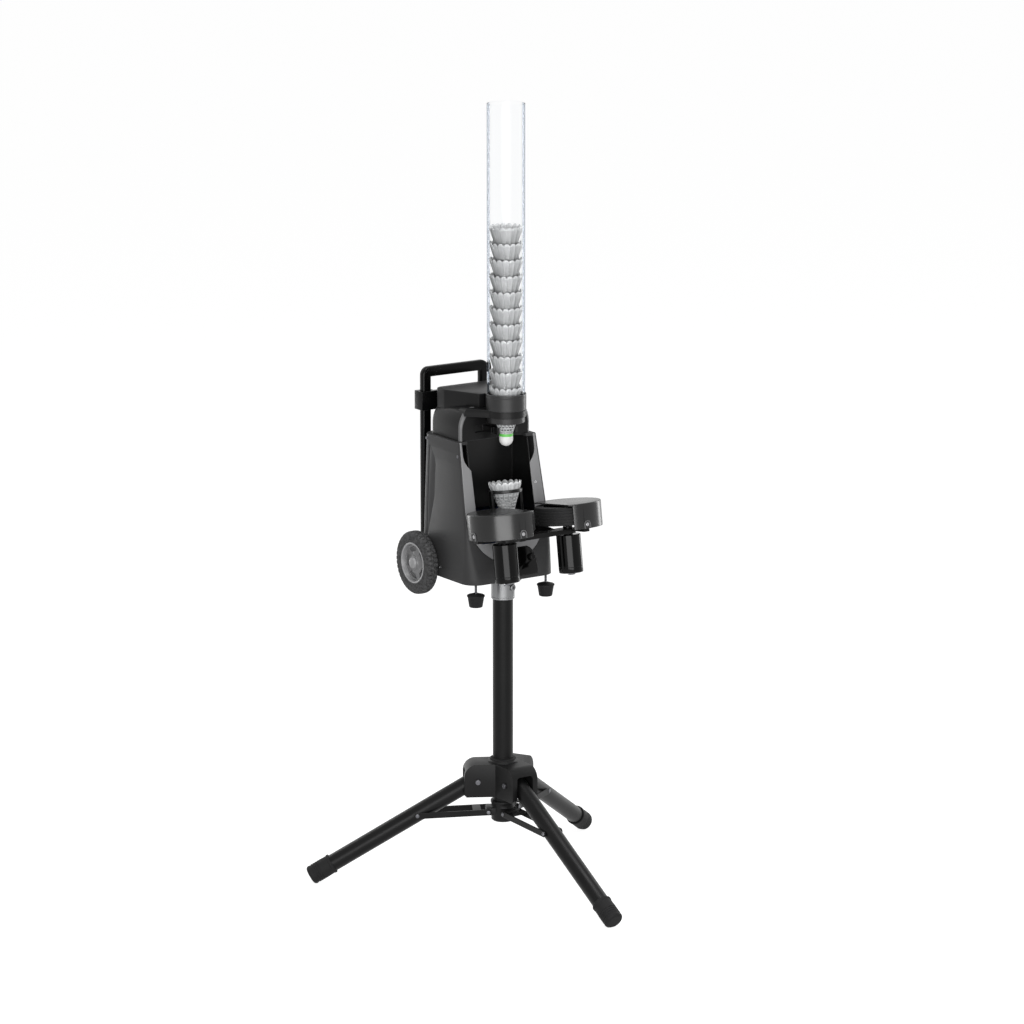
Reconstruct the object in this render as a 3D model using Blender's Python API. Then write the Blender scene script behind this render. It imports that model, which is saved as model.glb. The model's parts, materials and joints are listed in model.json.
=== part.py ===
# Shuttlecock serving machine on a folding tripod, in metres, +Z up, front towards -Y.
# The origin is on the floor under the axis of the pole.
import math

import bmesh
import bpy
from mathutils import Vector
from mathutils.geometry import convex_hull_2d

for old in list(bpy.data.objects):
    bpy.data.objects.remove(old, do_unlink=True)

# Clearances that the pieces share
FIT = 0.0003            # between faces that touch
RUN = 0.0004            # around a pin or shaft that turns
AIR = 0.0015            # beside a wheel, a leg or an arm that moves

# Pole and tripod
POLE_R = 0.0195
POLE_WALL = 0.0020
POLE_IN = 0.008         # top of the pole under the housing's floor
FOOT_CIRCLE = 0.372     # pole axis to the tip of a leg
LEG_ANGLE = 30.5        # below the horizontal, open
LEG_R = 0.0165
LEG_WALL = 0.0015
LEG_HEAD = 0.008        # tube beyond the bolt, inside the hub
BOLT_CIRCLE = 0.050     # pole axis to a leg bolt
BOLT_R = 0.003
BOLT_HEAD_R = 0.0052
BOLT_HEAD = 0.003
CAP_WALL = 0.0020
CAP_LENGTH = 0.050
CAP_SOLE = 0.010
CAP_FLAT = 0.0038       # flat moulded where the cap meets the floor
LEG_TURNS = {"front": 270.0, "left": 150.0, "right": 30.0}

HUB_WALL = 0.0087       # around the pole
HUB_LUG_R = 0.076
HUB_LUG_W = 0.058
HUB_ABOVE = 0.034       # hub top over the leg bolts
HUB_BELOW = 0.031
HUB_ROUND = 0.024
HUB_COLLAR = 0.005      # raised ring around the pole

STRUT_LENGTH = 0.137
STRUT_W = 0.012
STRUT_THICK = 0.0025
STRUT_PIN_R = 0.0026
STRUT_WEB_START = 0.016     # pin to the web between a strut's two strips
STRUT_WEB = 0.014
COLLAR_LOW = 0.118
COLLAR_FLOOR = 0.004
COLLAR_WALL = 0.0027
COLLAR_HEIGHT = 0.041
COLLAR_EAR = 0.0065     # collar face to a strut pin

# Housing, a moulded shell that narrows and leans back towards the top
BODY_BASE = 0.600       # underside of the housing over the floor
BODY_HEIGHT = 0.266
BASE_HALF_W = 0.0995
TOP_HALF_W = 0.0885
BASE_FRONT = -0.038
TOP_FRONT = 0.017
BODY_BACK = 0.145
SHELL_WALL = 0.003
DECK = 0.005
FLOOR_THICK = 0.0037
FRONT_ROUND_BASE = 0.030
FRONT_ROUND_TOP = 0.004
BACK_ROUND = 0.026
ROUND_RISE = 0.135      # base to where the front corners are at their sharpest
LOFT_RISES = (0.025, 0.055, 0.090, 0.135, 0.200)
RECESS = 0.0008         # depth of the moulded field on each side
# Outline of that field, forward of the back and over the base
FIELD = ((0.035, 0.072), (0.051, 0.090), (0.085, 0.145), (0.088, 0.155), (0.088, 0.212),
         (0.084, 0.222), (0.035, 0.246), (0.023, 0.246), (0.023, 0.072))

# Sleeve under the housing
SOCKET_HEIGHT = 0.042
SOCKET_WALL = 0.0028
SOCKET_FLANGE = 0.0165  # pole face to the flange's rim
SOCKET_FLANGE_THICK = 0.0047
CLAMP_SCREW_R = 0.003
CLAMP_BOSS_R = 0.0065

# Front panel in the housing's U-shaped mouth
MOUTH_SIDE = 0.0025     # housing edge beside the panel
MOUTH_RISE = 0.135      # base to where the U starts to curve
MOUTH_SILL = 0.033      # base to the lowest point of the U
PANEL_THICK = 0.0025
PANEL_SET = 0.0008      # panel front behind the housing's edge
BAND = 0.0244           # panel beside the throat
BAND_TOP = 0.0045
THROAT_FLARE_DROP = 0.054   # top to where the throat starts to widen
THROAT_ROUND = 0.010
FLARE_ROUND = 0.034
THROAT_GAP = 0.0033     # under the tilting arms at their lowest
BOX_LEFT = 0.004        # control box beside the pole
BOX_WIDTH = 0.052
BOX_RISE = 0.007
BOX_HEIGHT = 0.053
BOX_PROUD = 0.002
BOX_DEEP = 0.008
KNOB_R = 0.006
KNOB_SHAFT_R = 0.003
KNOB_RISE = 0.032
KNOB_INSET = 0.012
TRAY_LAP = 0.003        # tray beyond the throat on each side
TRAY_WALL = 0.002
TRAY_BACK = 0.071
TRAY_RISE = 0.122
TRAY_DROP = 0.006

# Feeder on the deck
FEED_HEIGHT = 0.027     # deck to the lid
HOOD_WALL = 0.0025
HOOD_CORNER = 0.006     # inside the hood's front corners
LID_HEIGHT = 0.036
LID_DROP = 0.040        # lid top to the foot of its rounded shoulders
NOSE_LIFT = 0.021       # underside of the lid's nose over the rest
LID_HALF_W = 0.080
LID_ROUND = 0.018
LID_SHOULDER = 0.030
LID_SET = 0.018         # lid's back forward of the housing's
CASE_HEIGHT = 0.026     # rear case over the lid
CASE_INSET = 0.009
CASE_FRONT = 0.085
JAW_HEIGHT = 0.012
JAW_THICK = 0.005
JAW_PLAY = 0.0011       # jaw to the skirt that it holds
JAW_BAR_W = 0.010
JAW_BAR_GAP = 0.0035    # bar to the feeder base behind it
JAW_TRAVEL = 0.018

# Magazine tube and its shuttlecocks
TUBE_Y = -0.011
TUBE_WALL = 0.0018
TUBE_PLAY = 0.0012      # around a shuttlecock's rim
TUBE_LENGTH = 0.572
SEAT_RISE = 0.040       # lid's underside to the tube's lower end
SEAT_THICK = 0.006
CUP_RISE = 0.025        # cup around the tube's lower end
CUP_WALL = 0.0020
NECK_WALL = 0.0020
NECK_PLAY = 0.0005
NECK_LENGTH = 0.030
SHUTTLE_RIM_R = 0.0330
SHUTTLE_HEIGHT = 0.0850
CORK_R = 0.0132
CORK_HEIGHT = 0.0240
SKIRT_WALL = 0.0010
TIP_DROP = 0.004        # between a feather's tip and its edges
STACK_PITCH = 0.0305
STACK_COUNT = 12
STACK_HANG = 0.037      # lid's underside to the stack's lowest point

# Trolley handle, axle, wheels and levelling feet
ROD_X = 0.066
ROD_W = 0.020
ROD_D = 0.014
ROD_GAP = 0.014         # behind the housing
ROD_RISE = 0.055
HANDLE_RISE = 0.121     # housing's top to the handle's
GRIP_ROUND = 0.016
HANDLE_TRAVEL = 0.200
BRACKET_RISE = 0.039
BRACKET_HEIGHT = 0.036
BRACKET_WALL = 0.006
BRACKET_WEB_HALF_W = 0.040
STRAP_HALF_W = 0.030
STRAP_THICK = 0.006
STRAP_DROP = 0.040      # housing's top to the strap's foot
STRAP_PAD = 0.016
AXLE_R = 0.005
AXLE_SET = 0.021        # forward of the housing's back
AXLE_RISE = 0.0185
TYRE_R = 0.061
TYRE_W = 0.022
TYRE_SHOULDER = 0.006
RIM_R = 0.044
RIM_LIP = 0.004
RIM_WEB = 0.004         # half its thickness
RIM_HUB_R = 0.014
WHEEL_GAP = 0.004       # housing side to wheel
STUD_R = 0.0025
STUD_IN = 0.010         # inside the pad
FOOT_INSET = 0.0079     # stud inside the housing's front corner
FOOT_TURN = 61.7        # around that corner
FOOT_TOP_R = 0.017
FOOT_SOLE_R = 0.0125
FOOT_PAD = 0.026
FOOT_TRAVEL = 0.008

# Inside the housing
POST_THICK = 0.006      # tilt bracket's posts
POST_FRONT = 0.014
POST_BACK = 0.030
BRACKET_FLOOR = 0.004
GEAR_W = 0.026
GEAR_HALF_D = 0.017
GEAR_DROP = 0.040
BATTERY_HALF_W = 0.060
BATTERY_DEPTH = 0.042
BATTERY_HEIGHT = 0.110
BATTERY_GAP = 0.004     # to the axle
BOARD_HALF_W = 0.062
BOARD_THICK = 0.0019
BOARD_RISE = 0.050
BOARD_DROP = 0.041      # deck to the board's top
FEED_MOTOR_R = 0.016
FEED_MOTOR_LENGTH = 0.086
FEED_MOTOR_SET = 0.045  # forward of the housing's back

# Launch head, drawn level about its pivot and then tipped up
PIVOT_Y = 0.020
PIVOT_RISE = 0.100
PIVOT_BOSS_R = 0.010
HEAD_TILT = 8.3
TILT_RANGE = 10.0
SHAFT_R = 0.004
WHEEL_R = 0.060
WHEEL_NIP = 0.025       # gap between the two wheels
WHEEL_BACK = 0.071      # pivot to the wheels' rear edge
WHEEL_LOW = -0.002
WHEEL_WIDTH = 0.034
WHEEL_PAD = 0.012
WHEEL_BOSS_R = 0.011
WHEEL_BOSS = 0.004      # boss under the wheel
GUARD_GAP = 0.004       # around the wheel
GUARD_WALL = 0.0025
GUARD_EDGE = 0.0015
GUARD_OVER = 0.002      # guard's lower edge over the plate
GUARD_INNER = 0.040     # the roof stops here, to let the shuttlecock pass
GUARD_FRONT_TURN = 113.0
GUARD_REAR_TURN = 45.0
PLATE_UNDER = 0.0105    # plate's top under the wheels
PLATE_THICK = 0.009
PLATE_AHEAD = 0.019     # plate in front of the wheels' axes
PLATE_BEHIND = 0.021
PLATE_END = 0.0105      # plate beyond the wheels' axes
TAB_RISE = 0.008        # guard tabs over the plate
TAB_HALF_W = 0.006
TAB_LENGTH = 0.012
ARM_X = 0.046
ARM_W = 0.007
ARM_TOP = -0.002
ARM_RAMP = 0.040        # pivot to where the arm starts to drop
BRIDGE_BACK = 0.022
BRIDGE_FRONT = 0.058
BRIDGE_THICK = 0.004
MOTOR_R = 0.0232
MOTOR_LENGTH = 0.0732
MOTOR_CAP_R = 0.008
MOTOR_SHAFT_R = 0.003
MOTOR_BOSS = 0.002      # plate boss over each motor
CRADLE_Y = -0.0386
CRADLE_THICK = 0.014
CRADLE_HALF_W = 0.020
CRADLE_FRONT = 0.030    # cradle's middle to its front edge
CRADLE_BACK = 0.027
HOOP_R = 0.0300
HOOP_PLAY = 0.0019      # hoop to the skirt in it
HOOP_WALL = 0.0022
HOOP_HEIGHT = 0.006
FORK_WALL = 0.0015
FORK_PLAY = 0.0006
FORK_BACK = 0.012
PUSH_ROD = 0.055

ROUND = 18              # sides of a round piece
FINE = 28               # of a large one that shows
SMALL = 8               # of a screw, pin or shaft


def material(name, colour, roughness, metallic=0.0):
    """A Principled BSDF with one colour."""
    mat = bpy.data.materials.new(name)
    mat.use_nodes = True
    shader = mat.node_tree.nodes["Principled BSDF"]
    shader.inputs["Base Color"].default_value = (*colour, 1.0)
    shader.inputs["Roughness"].default_value = roughness
    shader.inputs["Metallic"].default_value = metallic
    return mat


def empty(name, location, parent=None, turn=(0.0, 0.0, 0.0)):
    """An empty that carries a group of pieces."""
    carrier = bpy.data.objects.new(name, None)
    carrier.location = location
    carrier.rotation_euler = turn
    carrier.parent = parent
    bpy.context.collection.objects.link(carrier)
    return carrier


def add(name, bm, colour=None, parent=None, location=(0.0, 0.0, 0.0), turn=(0.0, 0.0, 0.0)):
    """Turns a bmesh into a named object, shaded smooth between its sharp edges."""
    bmesh.ops.remove_doubles(bm, verts=bm.verts, dist=1e-7)
    bmesh.ops.recalc_face_normals(bm, faces=bm.faces)
    mesh = bpy.data.meshes.new(name)
    bm.to_mesh(mesh)
    bm.free()
    mesh.shade_smooth()
    mesh.set_sharp_from_angle(angle=math.radians(35))
    if colour:
        mesh.materials.append(material(name, *colour))
    piece = bpy.data.objects.new(name, mesh)
    piece.parent = parent
    piece.location = location
    piece.rotation_euler = turn
    bpy.context.collection.objects.link(piece)
    return piece


def bevel(piece, width, segments=2, angle=50.0):
    """Rounds the piece's sharp edges."""
    mod = piece.modifiers.new("edge round", "BEVEL")
    mod.width = width
    mod.segments = segments
    mod.limit_method = "ANGLE"
    mod.angle_limit = math.radians(angle)
    return piece


def combine(piece, tool, operation):
    """Cuts, joins or trims a piece with a tool body, which is then only a guide."""
    mod = piece.modifiers.new(tool.name, "BOOLEAN")
    mod.operation = operation
    mod.solver = "EXACT"
    mod.object = tool
    tool.hide_render = True
    tool.display_type = "WIRE"
    return piece


def cut(piece, bm, parent=None, location=(0.0, 0.0, 0.0), turn=(0.0, 0.0, 0.0)):
    tool = add(piece.name + "_cutter", bm, None, parent, location, turn)
    return combine(piece, tool, "DIFFERENCE")


def join(piece, bm, parent=None, location=(0.0, 0.0, 0.0), turn=(0.0, 0.0, 0.0)):
    tool = add(piece.name + "_addition", bm, None, parent, location, turn)
    return combine(piece, tool, "UNION")


def arc(cx, cy, radius, start, end, steps):
    """Points along a circle, with angles in degrees."""
    points = []
    for i in range(steps + 1):
        a = math.radians(start + (end - start) * i / steps)
        points.append((cx + radius * math.cos(a), cy + radius * math.sin(a)))
    return points


def circle(cx, cy, radius, steps=ROUND):
    return arc(cx, cy, radius, 0.0, 360.0, steps)[:-1]


def rounded(x0, y0, x1, y1, radii, steps=4):
    """A rectangle with its four corners rounded: lower left, lower right, upper right, upper left."""
    if not isinstance(radii, (tuple, list)):
        radii = (radii,) * 4
    centres = (
        (x0 + radii[0], y0 + radii[0], 180.0),
        (x1 - radii[1], y0 + radii[1], 270.0),
        (x1 - radii[2], y1 - radii[2], 0.0),
        (x0 + radii[3], y1 - radii[3], 90.0),
    )
    points = []
    for (cx, cy, start), radius in zip(centres, radii):
        points += arc(cx, cy, radius, start, start + 90.0, steps)
    return points


def hull(points):
    """The convex outline around a set of points."""
    return [points[i] for i in convex_hull_2d(points)]


def loft(rings):
    """A closed solid through rings of equally many points, with flat ends."""
    bm = bmesh.new()
    rows = [[bm.verts.new(p) for p in ring] for ring in rings]
    count = len(rows[0])
    for lower, upper in zip(rows, rows[1:]):
        for i in range(count):
            j = (i + 1) % count
            bm.faces.new((lower[i], lower[j], upper[j], upper[i]))
    bm.faces.new(rows[0][::-1])
    bm.faces.new(rows[-1])
    return bm


def prism(outline, low, high, axis="Z"):
    """An outline extruded along an axis: (x, y) along Z, (x, z) along Y, (y, z) along X."""
    place = {
        "X": lambda a, b, h: (h, a, b),
        "Y": lambda a, b, h: (a, h, b),
        "Z": lambda a, b, h: (a, b, h),
    }[axis]
    return loft([[place(a, b, low) for a, b in outline], [place(a, b, high) for a, b in outline]])


def box(x0, y0, z0, x1, y1, z1):
    return prism([(x0, y0), (x1, y0), (x1, y1), (x0, y1)], z0, z1)


def turned(profile, steps=ROUND, axis="Z"):
    """A profile of (radius, height) points revolved about an axis through the origin."""
    bm = bmesh.new()
    place = {
        "X": lambda r, h, c, s: (h, r * c, r * s),
        "Y": lambda r, h, c, s: (r * s, h, r * c),
        "Z": lambda r, h, c, s: (r * c, r * s, h),
    }[axis]
    rows = []
    for radius, height in profile:
        if radius < 1e-9:
            rows.append([bm.verts.new(place(0.0, height, 1.0, 0.0))] * steps)
            continue
        row = []
        for i in range(steps):
            a = 2.0 * math.pi * i / steps
            row.append(bm.verts.new(place(radius, height, math.cos(a), math.sin(a))))
        rows.append(row)
    closed = profile[0][0] > 1e-9
    pairs = list(zip(rows, rows[1:]))
    if closed:
        pairs.append((rows[-1], rows[0]))
    for a, b in pairs:
        for i in range(steps):
            j = (i + 1) % steps
            corners = []
            for v in (a[i], a[j], b[j], b[i]):
                if v not in corners:
                    corners.append(v)
            if len(corners) > 2:
                bm.faces.new(corners)
    return bm


def rod(radius, low, high, steps=SMALL, axis="Z"):
    return turned([(0.0, low), (radius, low), (radius, high), (0.0, high)], steps, axis)


def ring(inner, outer, low, high, steps=ROUND, axis="Z"):
    return turned([(inner, low), (outer, low), (outer, high), (inner, high)], steps, axis)


def moved(bm, offset):
    bmesh.ops.translate(bm, verts=bm.verts, vec=Vector(offset))
    return bm


# Finishes: colour, roughness and metallic
BLACK_COAT = ((0.020, 0.020, 0.022), 0.42, 0.0)
BLACK_MOULD = ((0.022, 0.022, 0.024), 0.50, 0.0)
GLOSS_BLACK = ((0.008, 0.008, 0.009), 0.12, 0.0)
DARK_GREY = ((0.045, 0.046, 0.048), 0.46, 0.0)
RUBBER = ((0.018, 0.018, 0.019), 0.85, 0.0)
ALUMINIUM = ((0.62, 0.63, 0.64), 0.32, 1.0)
STEEL = ((0.40, 0.40, 0.41), 0.35, 1.0)
GREY_RIM = ((0.30, 0.31, 0.32), 0.45, 0.0)
CLEAR = ((0.92, 0.95, 0.97), 0.05, 0.0)
WHITE = ((0.86, 0.87, 0.86), 0.50, 0.0)
BOARD_GREEN = ((0.03, 0.16, 0.08), 0.55, 0.0)
BATTERY_BLUE = ((0.03, 0.05, 0.12), 0.45, 0.0)

# Sizes that follow from the ones above
LEG_A = math.radians(LEG_ANGLE)
CAP_R = LEG_R + FIT + CAP_WALL
LEG_REACH = (FOOT_CIRCLE - BOLT_CIRCLE) / math.cos(LEG_A)
TIP_Z = CAP_R * math.cos(LEG_A) - CAP_FLAT
BOLT_Z = TIP_Z + LEG_REACH * math.sin(LEG_A)
HUB_TOP = BOLT_Z + HUB_ABOVE
HUB_LOW = BOLT_Z - HUB_BELOW
SLOT_HALF_W = LEG_R + AIR
STRUT_HALF_W = LEG_R + AIR
SOCKET_R = POLE_R + FIT
HUB_CORE_R = SOCKET_R + HUB_WALL
COLLAR_R = SOCKET_R + COLLAR_WALL
COLLAR_PIN = COLLAR_R + COLLAR_EAR
STRUT_PIN_Z = COLLAR_LOW + COLLAR_HEIGHT / 2

BODY_TOP = BODY_BASE + BODY_HEIGHT
FLOOR_Z = BODY_BASE + FIT + FLOOR_THICK
POLE_TOP = BODY_BASE - POLE_IN
SOCKET_LOW = BODY_BASE - SOCKET_HEIGHT
SLEEVE_R = SOCKET_R + SOCKET_WALL
ROUND_ENDS = BODY_BASE + ROUND_RISE
MOUTH_STRAIGHT = BODY_BASE + MOUTH_RISE
MOUTH_FOOT = BODY_BASE + MOUTH_SILL
PANEL_BACK = PANEL_SET + PANEL_THICK + FIT
BOX_RIGHT = BOX_LEFT + BOX_WIDTH
BOX_LOW = BODY_BASE + BOX_RISE
BOX_TOP = BOX_LOW + BOX_HEIGHT
TRAY_LOW = BODY_BASE + TRAY_RISE
TRAY_TOP = BODY_TOP - TRAY_DROP
AXLE_Y = BODY_BACK - AXLE_SET
AXLE_Z = BODY_BASE + AXLE_RISE
FOOT_CORNER = FRONT_ROUND_BASE - FOOT_INSET
FOOT_X = BASE_HALF_W - FRONT_ROUND_BASE + FOOT_CORNER * math.cos(math.radians(FOOT_TURN))
FOOT_Y = BASE_FRONT + FRONT_ROUND_BASE - FOOT_CORNER * math.sin(math.radians(FOOT_TURN))

TUBE_R = SHUTTLE_RIM_R + TUBE_PLAY + TUBE_WALL
NECK_IN = SHUTTLE_RIM_R + NECK_PLAY
NECK_R = NECK_IN + NECK_WALL
CUP_R = TUBE_R + FIT + CUP_WALL
LID_UNDER = BODY_TOP + FEED_HEIGHT
LID_TOP = LID_UNDER + LID_HEIGHT
LID_SIDE = LID_TOP - LID_DROP
LID_BACK = BODY_BACK - LID_SET
CASE_TOP = LID_TOP + CASE_HEIGHT
CASE_HALF_W = LID_HALF_W - CASE_INSET
TUBE_SEAT = LID_UNDER + SEAT_RISE
SOCKET_TOP = TUBE_SEAT + CUP_RISE
SKIRT_SLOPE = (SHUTTLE_RIM_R - CORK_R) / (SHUTTLE_HEIGHT - CORK_HEIGHT)
JAW_INNER_R = CORK_R + (STACK_HANG - CORK_HEIGHT) * SKIRT_SLOPE + JAW_PLAY
HOOD_FRONT = TUBE_Y + NECK_R + AIR
JAW_BAR_FRONT = HOOD_FRONT + HOOD_WALL + AIR
JAW_BAR_END = LID_HALF_W - HOOD_WALL - HOOD_CORNER - JAW_TRAVEL
FEED_FRONT = JAW_BAR_FRONT + JAW_BAR_W + JAW_BAR_GAP

ROD_Y = BODY_BACK + ROD_GAP + ROD_D / 2
ROD_FOOT = BODY_BASE + ROD_RISE
HANDLE_TOP = BODY_TOP + HANDLE_RISE
BRACKET_LOW = BODY_TOP + BRACKET_RISE
BRACKET_HIGH = BRACKET_LOW + BRACKET_HEIGHT
STRAP_LOW = BODY_TOP - STRAP_DROP

PIVOT_Z = BODY_BASE + PIVOT_RISE
POST_IN = ARM_X + ARM_W / 2 + AIR
POST_OUT = POST_IN + POST_THICK
WHEEL_X = WHEEL_R + WHEEL_NIP / 2
WHEEL_Y = -WHEEL_R - WHEEL_BACK
WHEEL_HIGH = WHEEL_LOW + WHEEL_WIDTH
WHEEL_CORE_R = WHEEL_R - WHEEL_PAD
GUARD_R = WHEEL_R + GUARD_GAP + GUARD_WALL
PLATE_TOP = WHEEL_LOW - PLATE_UNDER
PLATE_LOW = PLATE_TOP - PLATE_THICK
PLATE_HALF_W = WHEEL_X + PLATE_END
GUARD_LOW = PLATE_TOP + GUARD_OVER
SEAT_LOW = PLATE_LOW + BRIDGE_THICK + FIT
CRADLE_FLOOR = SEAT_LOW + CRADLE_THICK
HOOP_TOP = CRADLE_FLOOR + FIT + CORK_HEIGHT + (HOOP_R - HOOP_PLAY - CORK_R) / SKIRT_SLOPE
HOOP_LEVEL = HOOP_TOP - HOOP_HEIGHT
MOTOR_TOP = PLATE_LOW - MOTOR_BOSS - FIT
MOTOR_LOW = MOTOR_TOP - MOTOR_LENGTH


def front_y(z):
    """The housing's front face leans back with height."""
    return BASE_FRONT + (TOP_FRONT - BASE_FRONT) * (z - BODY_BASE) / (BODY_TOP - BODY_BASE)


def half_width(z):
    return BASE_HALF_W + (TOP_HALF_W - BASE_HALF_W) * (z - BODY_BASE) / (BODY_TOP - BODY_BASE)


def front_round(z):
    share = min(1.0, (z - BODY_BASE) / (ROUND_ENDS - BODY_BASE))
    return FRONT_ROUND_BASE + (FRONT_ROUND_TOP - FRONT_ROUND_BASE) * math.sin(share * math.pi / 2)


def lowest_arm():
    """Underside of the launch head's arms at the housing's front, with the head tipped down."""
    reach = PIVOT_Y - front_y(PIVOT_Z + PLATE_LOW)
    down = math.radians(TILT_RANGE - HEAD_TILT)
    return PIVOT_Z - reach * math.sin(down) + PLATE_LOW * math.cos(down)


def body_ring(z, inset=0.0, section=None):
    """The housing's outline at one level, drawn in by a wall."""
    at = z if section is None else section
    w = half_width(at) - inset
    corner = max(front_round(at) - inset, 0.002)
    back = max(BACK_ROUND - inset, 0.002)
    outline = rounded(-w, front_y(at) + inset, w, BODY_BACK - inset, (corner, corner, back, back), 3)
    return [(x, y, z) for x, y in outline]


THROAT_HALF_W = half_width(MOUTH_STRAIGHT) - MOUTH_SIDE - BAND
THROAT_TOP_HALF_W = half_width(BODY_TOP) - MOUTH_SIDE - BAND_TOP
THROAT_FOOT = lowest_arm() - THROAT_GAP
THROAT_FLARE = BODY_TOP - THROAT_FLARE_DROP
TRAY_HALF_W = THROAT_HALF_W + TRAY_LAP


def tripod():
    """Pole, hub, legs, struts and their collar."""
    stand = empty("stand", (0.0, 0.0, 0.0))
    add("pole", ring(POLE_R - POLE_WALL, POLE_R, COLLAR_LOW + COLLAR_FLOOR, POLE_TOP), BLACK_COAT, stand)

    collar_in = POLE_R + FIT
    collar_seat = COLLAR_LOW + COLLAR_FLOOR - FIT
    collar = add("lower_collar", turned([
        (0.0, COLLAR_LOW), (COLLAR_R - 0.002, COLLAR_LOW), (COLLAR_R, COLLAR_LOW + 0.002),
        (COLLAR_R, COLLAR_LOW + COLLAR_HEIGHT), (collar_in, COLLAR_LOW + COLLAR_HEIGHT),
        (collar_in, collar_seat), (0.0, collar_seat)]), BLACK_MOULD, stand)
    hub = empty("hub_slide", (0.0, 0.0, 0.0), stand)
    corner = arc(HUB_LUG_R - HUB_ROUND, BOLT_Z + HUB_ABOVE - HUB_ROUND, HUB_ROUND, 0.0, 90.0, 4)
    side = [(-0.006, HUB_LOW), (HUB_LUG_R - 0.003, HUB_LOW), (HUB_LUG_R, HUB_LOW + 0.003)] + corner
    side += [(-0.006, HUB_TOP)]
    hub_piece = add("hub", rod(HUB_CORE_R, HUB_LOW + 0.0005, HUB_TOP + HUB_COLLAR, ROUND), BLACK_MOULD, hub)
    slot_roof = BOLT_Z + LEG_HEAD * math.sin(LEG_A) + LEG_R * math.cos(LEG_A) + AIR * 0.5
    slot = box(HUB_CORE_R + FIT, -SLOT_HALF_W, HUB_LOW - 0.01, HUB_LUG_R + 0.01, SLOT_HALF_W, slot_roof)
    slot_mesh = bpy.data.meshes.new("slot")
    slot.to_mesh(slot_mesh)
    slot.free()
    for turn in LEG_TURNS.values():
        spin = (0.0, 0.0, math.radians(turn))
        lug = prism([(r, z) for r, z in side], -HUB_LUG_W / 2, HUB_LUG_W / 2, "Y")
        tool = add("hub_lug", lug, None, hub, (0.0, 0.0, 0.0), spin)
        bevel(tool, 0.003, 1, 60.0)
        combine(hub_piece, tool, "UNION")
    for turn in LEG_TURNS.values():
        spin = (0.0, 0.0, math.radians(turn))
        slot = bmesh.new()
        slot.from_mesh(slot_mesh)
        cut(hub_piece, slot, hub, (0.0, 0.0, 0.0), spin)
        hole = moved(rod(BOLT_R + FIT, -HUB_LUG_W, HUB_LUG_W, SMALL, "Y"), (BOLT_CIRCLE, 0.0, BOLT_Z))
        cut(hub_piece, hole, hub, (0.0, 0.0, 0.0), spin)
    cut(hub_piece, rod(SOCKET_R, HUB_LOW - 0.01, HUB_TOP + 0.02, ROUND), hub)

    for name, turn in LEG_TURNS.items():
        spin = math.radians(turn)
        ear_end = COLLAR_PIN + 0.006
        ear = hull(rounded(POLE_R / 2, STRUT_PIN_Z - 0.007, ear_end, STRUT_PIN_Z + 0.007, 0.004, 2))
        ear_half = STRUT_HALF_W - AIR
        join(collar, prism(ear, -ear_half, ear_half, "Y"), stand, (0.0, 0.0, 0.0), (0.0, 0.0, spin))
        pin_half = STRUT_HALF_W + STRUT_THICK + 0.002
        pin = moved(rod(STRUT_PIN_R, -pin_half, pin_half, SMALL, "Y"), (COLLAR_PIN, 0.0, STRUT_PIN_Z))
        join(collar, pin, stand, (0.0, 0.0, 0.0), (0.0, 0.0, spin))
        leg_and_strut(name, spin, hub, stand)
    cut(collar, rod(collar_in, collar_seat, COLLAR_LOW + COLLAR_HEIGHT + 0.01, ROUND), stand)


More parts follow.
